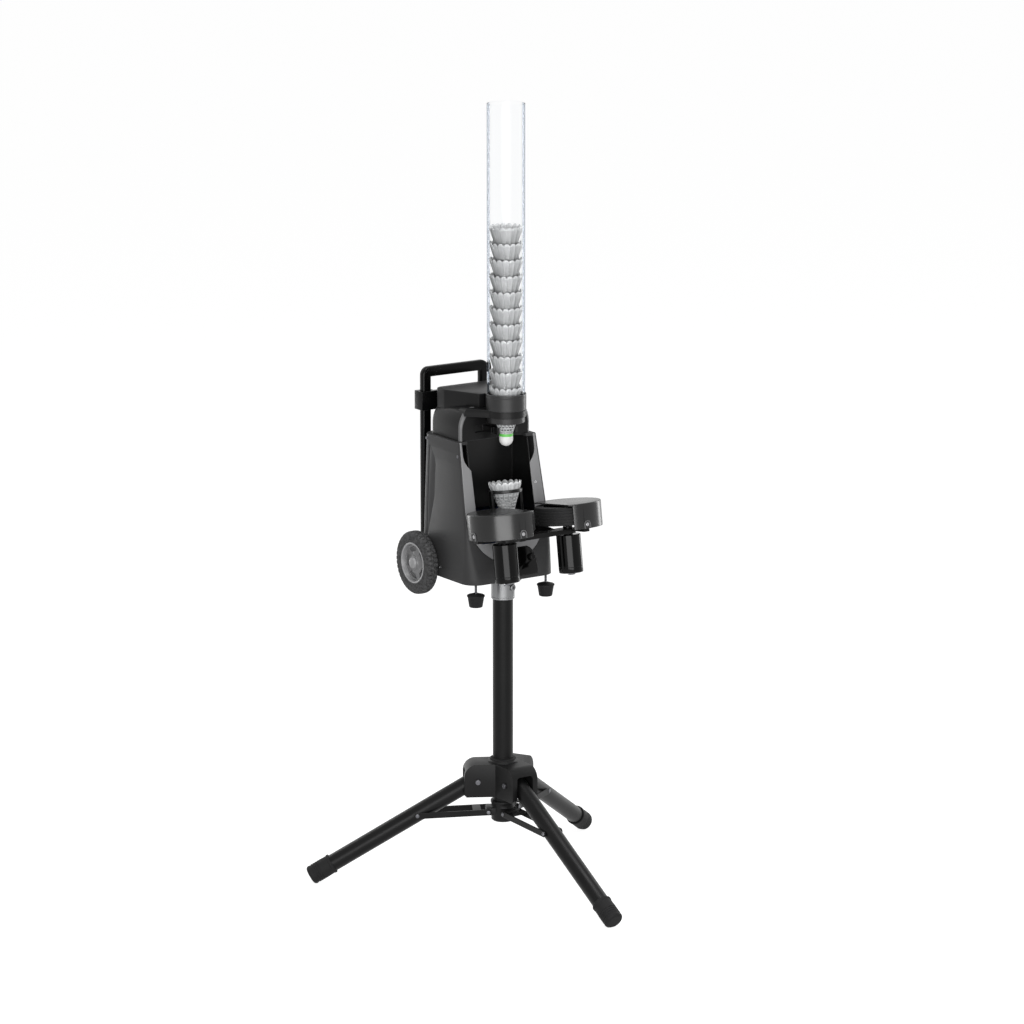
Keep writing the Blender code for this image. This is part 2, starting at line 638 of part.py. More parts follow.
def leg_and_strut(name, spin, hub, stand):
    """One leg with its bolt and rubber cap, and the strut under it."""
    direction = Vector((math.cos(spin), math.sin(spin), 0.0))
    bolt = direction * BOLT_CIRCLE + Vector((0.0, 0.0, BOLT_Z))
    pivot = empty("leg_pivot_" + name, bolt, hub, (0.0, LEG_A, spin))
    tube_end = LEG_REACH - CAP_SOLE
    tube = ring(LEG_R - LEG_WALL, LEG_R, -LEG_HEAD, tube_end - FIT, ROUND, "X")
    leg = add("leg_" + name, tube, BLACK_COAT, pivot)
    cut(leg, rod(BOLT_R + RUN, -HUB_LUG_W, HUB_LUG_W, SMALL, "Y"), pivot)

    cup = LEG_R + FIT
    cap = add("leg_cap_" + name, turned([
        (0.0, LEG_REACH), (CAP_R - 0.002, LEG_REACH), (CAP_R, LEG_REACH - 0.002),
        (CAP_R, LEG_REACH - CAP_LENGTH + 0.001), (CAP_R - 0.001, LEG_REACH - CAP_LENGTH),
        (cup, LEG_REACH - CAP_LENGTH), (cup, tube_end), (0.0, tube_end)], ROUND, "X"), RUBBER, pivot)
    cut(cap, box(-1.0, -1.0, -0.1, 1.0, 1.0, 0.0), stand)

    half = HUB_LUG_W / 2 + FIT
    bolt_profile = [(0.0, -half - BOLT_HEAD), (BOLT_HEAD_R, -half - BOLT_HEAD), (BOLT_HEAD_R, -half),
                    (BOLT_R, -half), (BOLT_R, half), (BOLT_HEAD_R, half),
                    (BOLT_HEAD_R, half + BOLT_HEAD), (0.0, half + BOLT_HEAD)]
    add("leg_bolt_" + name, turned(bolt_profile, SMALL, "Y"), STEEL, hub, bolt, (0.0, 0.0, spin))

    # The strut's far end lies beside the leg's axis; its angle follows from its length
    pin = direction * COLLAR_PIN + Vector((0.0, 0.0, STRUT_PIN_Z))
    run = BOLT_CIRCLE - COLLAR_PIN
    rise = BOLT_Z - STRUT_PIN_Z
    steps = 200
    best = min(range(steps), key=lambda i: abs(math.hypot(
        run + LEG_REACH * 0.6 * i / steps * math.cos(LEG_A),
        rise - LEG_REACH * 0.6 * i / steps * math.sin(LEG_A)) - STRUT_LENGTH) - i * 1e-6)
    along = LEG_REACH * 0.6 * best / steps
    far = (run + along * math.cos(LEG_A), rise - along * math.sin(LEG_A))
    droop = -math.atan2(far[1], far[0])
    strut_pivot = empty("strut_pivot_" + name, pin, stand, (0.0, droop, spin))
    strip = hull(circle(0.0, 0.0, STRUT_W / 2, 10) + circle(STRUT_LENGTH, 0.0, STRUT_W / 2, 10))
    inner = STRUT_HALF_W
    outer = STRUT_HALF_W + STRUT_THICK
    strut = add("strut_" + name, prism(strip, -outer, outer, "Y"), BLACK_COAT, strut_pivot)
    web_start = STRUT_WEB_START
    web_end = web_start + STRUT_WEB
    middle = hull(circle(0.0, 0.0, STRUT_W, 10) + circle(web_start - STRUT_W, 0.0, STRUT_W, 10))
    cut(strut, prism(middle, -inner, inner, "Y"), strut_pivot)
    tail = box(web_end, -inner, -0.02, STRUT_LENGTH + 0.02, inner, 0.02)
    cut(strut, tail, strut_pivot)
    under_web = box(web_start - 0.01, -inner, -0.02, web_end + 0.01, inner, STRUT_W / 2 - STRUT_THICK)
    cut(strut, under_web, strut_pivot)
    cut(strut, rod(STRUT_PIN_R + RUN, -outer * 2, outer * 2, SMALL, "Y"), strut_pivot)


def housing():
    """Shell, base plate, front panel and what the shell holds."""
    levels = [BODY_BASE] + [BODY_BASE + rise for rise in LOFT_RISES] + [BODY_TOP]
    shell = add("side_shell", loft([body_ring(z) for z in levels]), DARK_GREY)
    bevel(shell, 0.002, 1, 70.0)
    inner_levels = [BODY_BASE - 0.01] + levels[:-1] + [BODY_TOP - DECK]
    sections = [BODY_BASE] + levels[:-1] + [BODY_TOP - DECK]
    cavity = loft([body_ring(z, SHELL_WALL, at) for z, at in zip(inner_levels, sections)])
    cut(shell, cavity)

    def mouth(inset):
        """The U-shaped mouth in the front view."""
        side = half_width(MOUTH_STRAIGHT) - MOUTH_SIDE - inset
        top = half_width(BODY_TOP) - MOUTH_SIDE - inset
        drop = MOUTH_STRAIGHT - MOUTH_FOOT - inset
        curve = [(side * math.cos(a), MOUTH_STRAIGHT - drop * math.sin(a))
                 for a in [math.pi * i / 16 for i in range(17)]]
        return [(top, BODY_TOP)] + curve + [(-top, BODY_TOP)]

    outline = mouth(0.0)
    outline[0] = (outline[0][0], BODY_TOP + 0.01)
    outline[-1] = (outline[-1][0], BODY_TOP + 0.01)
    before = [(x, front_y(z) - FRONT_ROUND_BASE, z) for x, z in outline]
    behind = [(x, front_y(z) + PANEL_BACK, z) for x, z in outline]
    opening = loft([before, behind])
    cut(shell, opening)
    # The deck is open in front, under the magazine's neck
    corners = (0.002, 0.002, 0.010, 0.010)
    notch = rounded(-THROAT_HALF_W, BASE_FRONT - 0.01, THROAT_HALF_W, FEED_FRONT - 0.002, corners, 3)
    cut(shell, prism(notch, BODY_TOP - DECK - 0.004, BODY_TOP + 0.01))
    cut(shell, moved(rod(AXLE_R + FIT, -BASE_HALF_W * 2, BASE_HALF_W * 2, SMALL, "X"), (0.0, AXLE_Y, AXLE_Z)))

    plate_in = SHELL_WALL + FIT
    floor = loft([body_ring(BODY_BASE + FIT, plate_in), body_ring(FLOOR_Z, plate_in)])
    base = add("base_plate", floor, BLACK_MOULD)
    cut(base, rod(POLE_R + AIR, BODY_BASE - 0.01, FLOOR_Z + 0.01, ROUND))
    for x in (-FOOT_X, FOOT_X):
        cut(base, moved(rod(STUD_R + FIT, BODY_BASE - 0.01, FLOOR_Z + 0.01), (x, FOOT_Y, 0.0)))

    inner_top = BODY_TOP - 0.0005
    outline = [(x, min(z, inner_top)) for x, z in mouth(FIT)]
    panel = loft([
        [(x, front_y(z) + PANEL_SET, z) for x, z in outline],
        [(x, front_y(z) + PANEL_SET + PANEL_THICK, z) for x, z in outline]])
    panel = add("front_panel", panel, GLOSS_BLACK)
    flare_z = THROAT_FLARE + FLARE_ROUND * 0.88
    flare = arc(THROAT_TOP_HALF_W - FLARE_ROUND, flare_z, FLARE_ROUND, -38.0, 0.0, 4)
    right = [(THROAT_HALF_W, THROAT_FOOT + THROAT_ROUND), (THROAT_HALF_W, THROAT_FLARE)] + flare
    right = [(x, z) for x, z in right] + [(THROAT_TOP_HALF_W, BODY_TOP + 0.02)]
    foot = arc(THROAT_HALF_W - THROAT_ROUND, THROAT_FOOT + THROAT_ROUND, THROAT_ROUND, -90.0, 0.0, 3)[:-1]
    right = foot + right
    left = [(-x, z) for x, z in reversed(right)]
    cut(panel, prism(right + left, -0.1, 0.1, "Y"))

    # Black control box low on the right of the front, across the edge of the mouth
    right = BOX_RIGHT
    top = BOX_TOP
    knee = [(right - 0.010, top - 0.004), (right, top - 0.022)]
    hole = [(BOX_LEFT, BOX_LOW), (right, BOX_LOW)] + knee[::-1] + [(right - 0.018, top), (BOX_LEFT, top)]
    for target in (shell, panel):
        before = [(x, front_y(z) - FRONT_ROUND_BASE, z) for x, z in hole]
        behind = [(x, front_y(z) + BOX_DEEP + 0.002, z) for x, z in hole]
        cut(target, loft([before, behind]))
    f = FIT
    fill = [(BOX_LEFT + f, BOX_LOW + f), (right - f, BOX_LOW + f), (right - f, top - 0.0222),
            (right - 0.010 - f, top - 0.004 - f), (right - 0.018 - f, top - f), (BOX_LEFT + f, top - f)]
    control = add("control_box", loft([
        [(x, front_y(z) - BOX_PROUD, z) for x, z in fill],
        [(x, front_y(z) + BOX_DEEP, z) for x, z in fill]]), GLOSS_BLACK)
    bevel(control, 0.0012, 1, 60.0)
    knob_z = BOX_LOW + KNOB_RISE
    knob_x = right - KNOB_INSET
    face = front_y(knob_z) - BOX_PROUD
    knob_spin = (-math.atan2(TOP_FRONT - BASE_FRONT, BODY_HEIGHT), 0.0, 0.0)
    at = (knob_x, face, knob_z)
    bore = BOX_DEEP - 0.002
    cut(control, rod(KNOB_SHAFT_R + RUN, -0.02, bore, SMALL, "Y"), None, at, knob_spin)
    knob = turned([(0.0, -0.007), (KNOB_R - 0.0005, -0.007), (KNOB_R, -0.006), (KNOB_R, -0.0005),
                   (KNOB_SHAFT_R, -0.0005), (KNOB_SHAFT_R, bore - 0.0005), (0.0, bore - 0.0005)], 14, "Y")
    add("tilt_knob", knob, BLACK_MOULD, None, at, knob_spin)

    # Shallow moulded field on each side of the housing
    for side in (-1.0, 1.0):
        field = [(BODY_BACK - ahead, BODY_BASE + rise) for ahead, rise in FIELD]
        cutter = loft([[(side * (half_width(z) - RECESS), y, z) for y, z in field],
                       [(side * (half_width(z) + 0.02), y, z) for y, z in field]])
        cut(shell, cutter)

    # Tray behind the mouth that catches and guides the shuttlecocks
    wall = TRAY_WALL
    side = [(front_y(TRAY_LOW) + PANEL_BACK, TRAY_LOW), (TRAY_BACK, TRAY_LOW), (TRAY_BACK, TRAY_TOP),
            (front_y(TRAY_TOP) + PANEL_BACK, TRAY_TOP)]
    tray = add("shuttle_tray", prism(side, -TRAY_HALF_W, TRAY_HALF_W, "X"), BLACK_MOULD)
    inside = TRAY_HALF_W - wall
    cut(tray, box(-inside, BASE_FRONT - 0.01, TRAY_LOW - 0.01, inside, TRAY_BACK - wall, TRAY_TOP + 0.01))


def support():
    """Sleeve on the pole with its screw, tilt bracket, battery, board and motors inside."""
    flange = POLE_R + SOCKET_FLANGE
    flange_low = BODY_BASE - FIT - SOCKET_FLANGE_THICK
    profile = [
        (SOCKET_R, SOCKET_LOW), (SLEEVE_R - 0.0006, SOCKET_LOW), (SLEEVE_R, SOCKET_LOW + 0.0006),
        (SLEEVE_R, flange_low), (flange, flange_low), (flange, BODY_BASE - FIT),
        (SOCKET_R, BODY_BASE - FIT)]
    socket = add("pole_socket", turned(profile), ALUMINIUM)
    spin = math.radians(285.0)
    level = SOCKET_LOW + SOCKET_HEIGHT * 4 / 7
    boss = moved(rod(CLAMP_BOSS_R, SOCKET_R + 0.001, SLEEVE_R + 0.0045, SMALL, "X"), (0.0, 0.0, level))
    join(socket, boss, None, (0.0, 0.0, 0.0), (0.0, 0.0, spin))
    hole = moved(rod(CLAMP_SCREW_R + FIT, 0.0, flange * 2, SMALL, "X"), (0.0, 0.0, level))
    cut(socket, hole, None, (0.0, 0.0, 0.0), (0.0, 0.0, spin))
    shank = moved(rod(CLAMP_SCREW_R, SOCKET_R, SLEEVE_R + 0.0035, SMALL, "X"), (0.0, 0.0, level))
    screw = add("clamp_screw", shank, STEEL, None, (0.0, 0.0, 0.0), (0.0, 0.0, spin))
    key = moved(rod(0.0014, SLEEVE_R + 0.001, SLEEVE_R + 0.02, 6, "X"), (0.0, 0.0, level))
    cut(screw, key, None, (0.0, 0.0, 0.0), (0.0, 0.0, spin))

    # U-shaped bracket on the base plate that carries the tilt shaft
    bar_low = FLOOR_Z + FIT
    outline = hull([(PIVOT_Y - POST_FRONT, bar_low), (PIVOT_Y + POST_BACK, bar_low)] +
                   circle(PIVOT_Y, PIVOT_Z, PIVOT_BOSS_R, 12))
    bracket = add("tilt_bracket", prism(outline, -POST_OUT, POST_OUT, "X"), STEEL)
    low = bar_low + BRACKET_FLOOR
    cut(bracket, box(-POST_IN, PIVOT_Y - POST_OUT, low, POST_IN, PIVOT_Y + POST_OUT, PIVOT_Z + POST_OUT))
    cut(bracket, moved(rod(SHAFT_R + RUN, -POST_OUT * 2, POST_OUT * 2, SMALL, "X"), (0.0, PIVOT_Y, PIVOT_Z)))
    cut(bracket, rod(POLE_R + AIR, BODY_BASE, BODY_BASE + 0.02, ROUND))
    high = PIVOT_Z + GEAR_HALF_D
    side = rounded(PIVOT_Y - GEAR_HALF_D, PIVOT_Z - GEAR_DROP, PIVOT_Y + GEAR_HALF_D, high, 0.004, 3)
    gear = add("tilt_gearmotor", prism(side, POST_OUT + FIT, POST_OUT + GEAR_W, "X"), STEEL)
    cut(gear, moved(rod(SHAFT_R + RUN, 0.0, POST_OUT + GEAR_W / 2, SMALL, "X"), (0.0, PIVOT_Y, PIVOT_Z)))

    back = AXLE_Y - AXLE_R - BATTERY_GAP
    high = FLOOR_Z + BATTERY_HEIGHT
    cells = box(-BATTERY_HALF_W, back - BATTERY_DEPTH, FLOOR_Z + FIT, BATTERY_HALF_W, back, high)
    bevel(add("battery_pack", cells, BATTERY_BLUE), 0.003, 1, 60.0)
    back = BODY_BACK - SHELL_WALL - FIT
    low = BODY_BASE + BOARD_RISE
    deck = BODY_TOP - DECK
    board = box(-BOARD_HALF_W, back - BOARD_THICK, low, BOARD_HALF_W, back, deck - BOARD_DROP)
    add("control_board", board, BOARD_GREEN)
    top = deck - FIT
    can = rod(FEED_MOTOR_R, top - FEED_MOTOR_LENGTH, top, ROUND)
    add("feed_motor", can, STEEL, None, (0.0, BODY_BACK - FEED_MOTOR_SET, 0.0))


def feeder():
    """Feeder base, arched hood, rear case, tube socket and the two jaws in the hood's window."""
    side = LID_HALF_W - HOOD_WALL - AIR / 2
    back = LID_BACK - HOOD_WALL - AIR / 2
    outline = rounded(-side, FEED_FRONT, side, back, (0.004, 0.004, 0.015, 0.015), 3)
    base = add("feeder_base", prism(outline, BODY_TOP + FIT, LID_UNDER - FIT), BLACK_MOULD)

    # The hood is a cup upside down with an arched top and a nose around the tube socket
    nose = circle(0.0, TUBE_Y, CUP_R + 0.004, FINE)
    hood = rounded(-LID_HALF_W, HOOD_FRONT, LID_HALF_W, LID_BACK, (0.008, 0.008, LID_ROUND, LID_ROUND), 3)
    lid = add("feeder_lid", prism(hull(nose + hood), BODY_TOP + FIT, LID_TOP), DARK_GREY)
    inner = LID_HALF_W - LID_SHOULDER
    half = [(inner + (LID_SHOULDER + FIT) * math.sin(a), LID_SIDE + LID_DROP * math.cos(a))
            for a in [math.pi / 2 * i / 6 for i in range(7)]]
    foot = BODY_TOP - 0.01
    arch = [(LID_HALF_W + FIT, foot)] + half[::-1] + [(-x, z) for x, z in half] + [(-LID_HALF_W - FIT, foot)]
    front = HOOD_FRONT - TUBE_R * 3
    combine(lid, add("feeder_lid_arch", prism(arch, front, BODY_BACK, "Y")), "INTERSECT")
    cut(lid, box(-LID_HALF_W * 2, front, foot, LID_HALF_W * 2, HOOD_FRONT, LID_UNDER + NOSE_LIFT))
    bevel(lid, 0.0015, 1, 55.0)
    side = LID_HALF_W - HOOD_WALL
    corners = (HOOD_CORNER, HOOD_CORNER, LID_ROUND - HOOD_WALL, LID_ROUND - HOOD_WALL)
    hollow = rounded(-side, HOOD_FRONT + HOOD_WALL, side, LID_BACK - HOOD_WALL, corners, 3)
    cut(lid, prism(hollow, foot, LID_UNDER))
    jaw_half_w = JAW_INNER_R + JAW_THICK + 0.002
    window_half_w = jaw_half_w + JAW_TRAVEL + AIR
    low = LID_UNDER - JAW_HEIGHT
    behind = HOOD_FRONT + HOOD_WALL + 0.001
    cut(lid, box(-window_half_w, HOOD_FRONT - 0.01, low - AIR, window_half_w, behind, LID_UNDER))
    cut(lid, moved(rod(NECK_R + FIT, foot, LID_TOP + 0.01, FINE), (0.0, TUBE_Y, 0.0)))
    ledge = TUBE_SEAT - SEAT_THICK
    cut(lid, moved(rod(CUP_R + FIT, ledge - FIT, LID_TOP + 0.1, FINE), (0.0, TUBE_Y, 0.0)))

    # The socket is a cup for the tube with a narrow neck for one shuttlecock
    cup = TUBE_R + FIT
    neck_foot = TUBE_SEAT - NECK_LENGTH
    profile = [
        (NECK_IN, neck_foot), (NECK_R, neck_foot), (NECK_R, ledge), (CUP_R, ledge),
        (CUP_R, SOCKET_TOP - 0.001), (CUP_R - 0.001, SOCKET_TOP), (cup, SOCKET_TOP), (cup, TUBE_SEAT - FIT),
        (NECK_IN, TUBE_SEAT - FIT)]
    add("tube_socket", turned(profile, FINE), BLACK_MOULD, None, (0.0, TUBE_Y, 0.0))
    tube = ring(TUBE_R - TUBE_WALL, TUBE_R, TUBE_SEAT, TUBE_SEAT + TUBE_LENGTH, FINE)
    add("magazine_tube", tube, CLEAR, None, (0.0, TUBE_Y, 0.0))

    clear = CUP_R + 0.001
    around = [(x, y) for x, y in circle(0.0, TUBE_Y + 0.030, clear + 0.002) if y > TUBE_Y]
    outline = hull(rounded(-CASE_HALF_W, CASE_FRONT, CASE_HALF_W, LID_BACK - 0.002, 0.010, 3) + around)
    case = add("rear_case", prism(outline, LID_SIDE, CASE_TOP), BLACK_MOULD)
    bevel(case, 0.0020, 1, 55.0)
    cut(case, moved(rod(clear, LID_UNDER, CASE_TOP + 0.1, FINE), (0.0, TUBE_Y, 0.0)))
    seat = add("rear_case_seat", prism([(x, z + FIT) for x, z in arch], front, BODY_BACK, "Y"))
    combine(case, seat, "DIFFERENCE")

    # Two jaws between the hood and a shelf hold the lowest shuttlecock and slide apart to drop it
    high = LID_UNDER - FIT
    shelf_top = low - FIT
    shelf_end = JAW_BAR_END + 0.002
    back = FEED_FRONT + 0.008
    join(base, box(-shelf_end, JAW_BAR_FRONT + 0.002, shelf_top - 0.004, shelf_end, back, shelf_top))
    for name, side in (("left", -1.0), ("right", 1.0)):
        start = 90.0 - side * 40.0
        end = 90.0 - side * 105.0
        inner_arc = arc(0.0, TUBE_Y, JAW_INNER_R, start, end, 5)
        outer_arc = arc(0.0, TUBE_Y, JAW_INNER_R + JAW_THICK, start, end, 5)
        jaw = add("release_jaw_" + name, prism(outer_arc + inner_arc[::-1], low, high), BLACK_MOULD)
        near = side * (JAW_INNER_R - 0.002)
        far = side * jaw_half_w
        root = JAW_BAR_FRONT + 0.006
        join(jaw, box(min(near, far), TUBE_Y + 0.012, low + 0.0004, max(near, far), root, high - 0.0004))
        far = side * JAW_BAR_END
        join(jaw, box(min(near, far), JAW_BAR_FRONT, low, max(near, far), JAW_BAR_FRONT + JAW_BAR_W, high))


def shuttle_profile():
    """Half outline of a shuttlecock, from the bottom of its cork to the rim and back inside."""
    dome = [(CORK_R * math.sin(a), CORK_R - CORK_R * math.cos(a))
            for a in [math.pi / 2 * i / 4 for i in range(5)]]
    return dome + [(CORK_R, CORK_HEIGHT), (SHUTTLE_RIM_R, SHUTTLE_HEIGHT)]


def magazine():
    """Twelve nested shuttlecocks in the tube, and the one in the cradle."""
    skirt = (SHUTTLE_RIM_R - CORK_R) / (SHUTTLE_HEIGHT - CORK_HEIGHT)
    points = shuttle_profile()
    for i in range(1, STACK_COUNT):
        lift = STACK_PITCH * i
        fold = SHUTTLE_RIM_R - skirt * STACK_PITCH
        points.append((fold, SHUTTLE_HEIGHT + lift - STACK_PITCH))
        points.append((SHUTTLE_RIM_R, SHUTTLE_HEIGHT + lift))
    top = SHUTTLE_HEIGHT + STACK_PITCH * (STACK_COUNT - 1)
    hollow = top - SHUTTLE_HEIGHT + CORK_HEIGHT + 0.002
    points += [(SHUTTLE_RIM_R - SKIRT_WALL, top), (CORK_R - SKIRT_WALL, hollow + 0.002), (0.0, hollow)]
    # Every second corner of a rim stands up, as the feather tips do
    stack = turned(points, ROUND)
    raise_tips(stack, [SHUTTLE_HEIGHT + STACK_PITCH * i for i in range(STACK_COUNT)])
    add("shuttle_stack", stack, WHITE, None, (0.0, TUBE_Y, LID_UNDER - STACK_HANG))


def raise_tips(bm, levels):
    """Lowers every second corner of each rim, which leaves the feather tips standing."""
    for v in bm.verts:
        radius = math.hypot(v.co.x, v.co.y)
        step = round(math.atan2(v.co.y, v.co.x) / (2.0 * math.pi / ROUND))
        if radius > SHUTTLE_RIM_R - SKIRT_WALL * 1.5 and step % 2:
            if min(abs(v.co.z - level) for level in levels) < 1e-5:
                v.co.z -= TIP_DROP


def trolley():
    """Handle, its bracket, axle, wheels and levelling feet."""
    out = ROD_X + ROD_W / 2
    inn = ROD_X - ROD_W / 2
    bend = HANDLE_TOP - GRIP_ROUND
    outer = [(-out, ROD_FOOT)] + arc(-out + GRIP_ROUND, bend, GRIP_ROUND, 180.0, 90.0, 4)
    outer += arc(out - GRIP_ROUND, bend, GRIP_ROUND, 90.0, 0.0, 4) + [(out, ROD_FOOT)]
    small = GRIP_ROUND * 0.5
    under = HANDLE_TOP - ROD_W
    inner = [(inn, ROD_FOOT)] + arc(inn - small, under - small, small, 0.0, 90.0, 3)
    inner += arc(-inn + small, under - small, small, 90.0, 180.0, 3) + [(-inn, ROD_FOOT)]
    bail = prism(outer + inner, -ROD_D / 2, ROD_D / 2, "Y")
    bevel(add("trolley_handle", bail, BLACK_MOULD, None, (0.0, ROD_Y, 0.0)), 0.0035, 1, 60.0)

    hole_w = ROD_W / 2 + FIT
    hole_d = ROD_D / 2 + FIT
    reach = out + BRACKET_WALL + FIT
    deep = hole_d + BRACKET_WALL
    block = box(-reach, ROD_Y - deep, BRACKET_LOW, reach, ROD_Y + deep, BRACKET_HIGH)
    bracket = add("handle_bracket", block, BLACK_MOULD)
    bevel(bracket, 0.003, 1, 60.0)
    web = ROD_Y - STRAP_THICK + 0.002
    high = BRACKET_HIGH - 0.006
    join(bracket, box(-BRACKET_WEB_HALF_W, LID_BACK + FIT, LID_UNDER + 0.002, BRACKET_WEB_HALF_W, web, high))
    front = web - STRAP_THICK
    join(bracket, box(-STRAP_HALF_W, front, STRAP_LOW, STRAP_HALF_W, web, BRACKET_LOW + 0.01))
    foot_top = STRAP_LOW + STRAP_PAD - 0.001
    pad = box(-STRAP_HALF_W, BODY_BACK + FIT, STRAP_LOW - 0.001, STRAP_HALF_W, web - 0.0005, foot_top)
    join(bracket, pad)
    low = BRACKET_LOW - 0.1
    for x in (-ROD_X, ROD_X):
        cut(bracket, box(x - hole_w, ROD_Y - hole_d, low, x + hole_w, ROD_Y + hole_d, BRACKET_HIGH + 0.1))
    middle = inn - BRACKET_WALL
    cut(bracket, box(-middle, web + FIT, low, middle, ROD_Y + 0.1, BRACKET_HIGH + 0.1))

    side = half_width(AXLE_Z) + WHEEL_GAP
    hub_face = side + TYRE_W / 2 + 0.009
    axle = rod(AXLE_R, -hub_face - 0.001, hub_face + 0.001, SMALL, "X")
    add("wheel_axle", axle, STEEL, None, (0.0, AXLE_Y, AXLE_Z))
    for name, sign in (("left", -1.0), ("right", 1.0)):
        middle = sign * (side + TYRE_W / 2)
        place = (middle, AXLE_Y, AXLE_Z)
        wheel(name, sign, place)
        foot(name, sign)


def wheel(name, sign, place):
    """A moulded rim with five windows, and the rubber tyre around it."""
    half = TYRE_W / 2
    web = RIM_WEB
    hub_r = RIM_HUB_R
    lip = RIM_R - RIM_LIP
    end = half - 0.002
    profile = [
        (AXLE_R + RUN, -half * sign), (hub_r, -half * sign), (hub_r, -web * sign), (lip - 0.002, -web * sign),
        (lip, -half * sign), (RIM_R, -half * sign), (RIM_R, half * sign), (lip, half * sign),
        (lip - 0.002, web * sign), (hub_r + 0.006, web * sign), (hub_r, end * sign),
        (AXLE_R + RUN, end * sign)]
    rim = add("wheel_rim_" + name, turned(profile, ROUND, "X"), GREY_RIM, None, place)
    for i in range(5):
        a0 = 72.0 * i + 9.0
        a1 = 72.0 * i + 64.0
        window = arc(0.0, 0.0, lip - 0.0045, a0, a1, 3) + arc(0.0, 0.0, hub_r + 0.009, a1 - 4.0, a0 + 4.0, 2)
        cut(rim, prism(window, -TYRE_W, TYRE_W, "X"), None, place)
    shoulder = TYRE_R - TYRE_SHOULDER
    level = half - TYRE_SHOULDER
    tyre = [(RIM_R + FIT, -half)]
    tyre += [(shoulder + TYRE_SHOULDER * math.sin(a), -level - TYRE_SHOULDER * math.cos(a))
             for a in [math.pi / 2 * i / 2 for i in range(3)]]
    tyre += [(r, -h) for r, h in reversed(tyre)]
    add("tyre_" + name, turned(tyre, FINE, "X"), RUBBER, None, place)


def foot(name, sign):
    """A threaded stud through the base plate, with a rubber pad on its lower end."""
    low = AXLE_Z - TYRE_R
    pad_top = low + FOOT_PAD
    stud_foot = pad_top - STUD_IN
    place = (sign * FOOT_X, FOOT_Y, 0.0)
    stud = rod(STUD_R, stud_foot, FLOOR_Z + FOOT_TRAVEL + 0.001)
    add("foot_stud_" + name, stud, BLACK_COAT, None, place)
    profile = [
        (0.0, low), (FOOT_SOLE_R - 0.002, low), (FOOT_SOLE_R, low + 0.002), (FOOT_TOP_R, pad_top - 0.004),
        (FOOT_TOP_R - 0.001, pad_top - 0.003), (FOOT_SOLE_R / 2, pad_top), (STUD_R + FIT, pad_top),
        (STUD_R + FIT, stud_foot - FIT), (0.0, stud_foot - FIT)]
    add("foot_pad_" + name, turned(profile, 16), RUBBER, None, place)


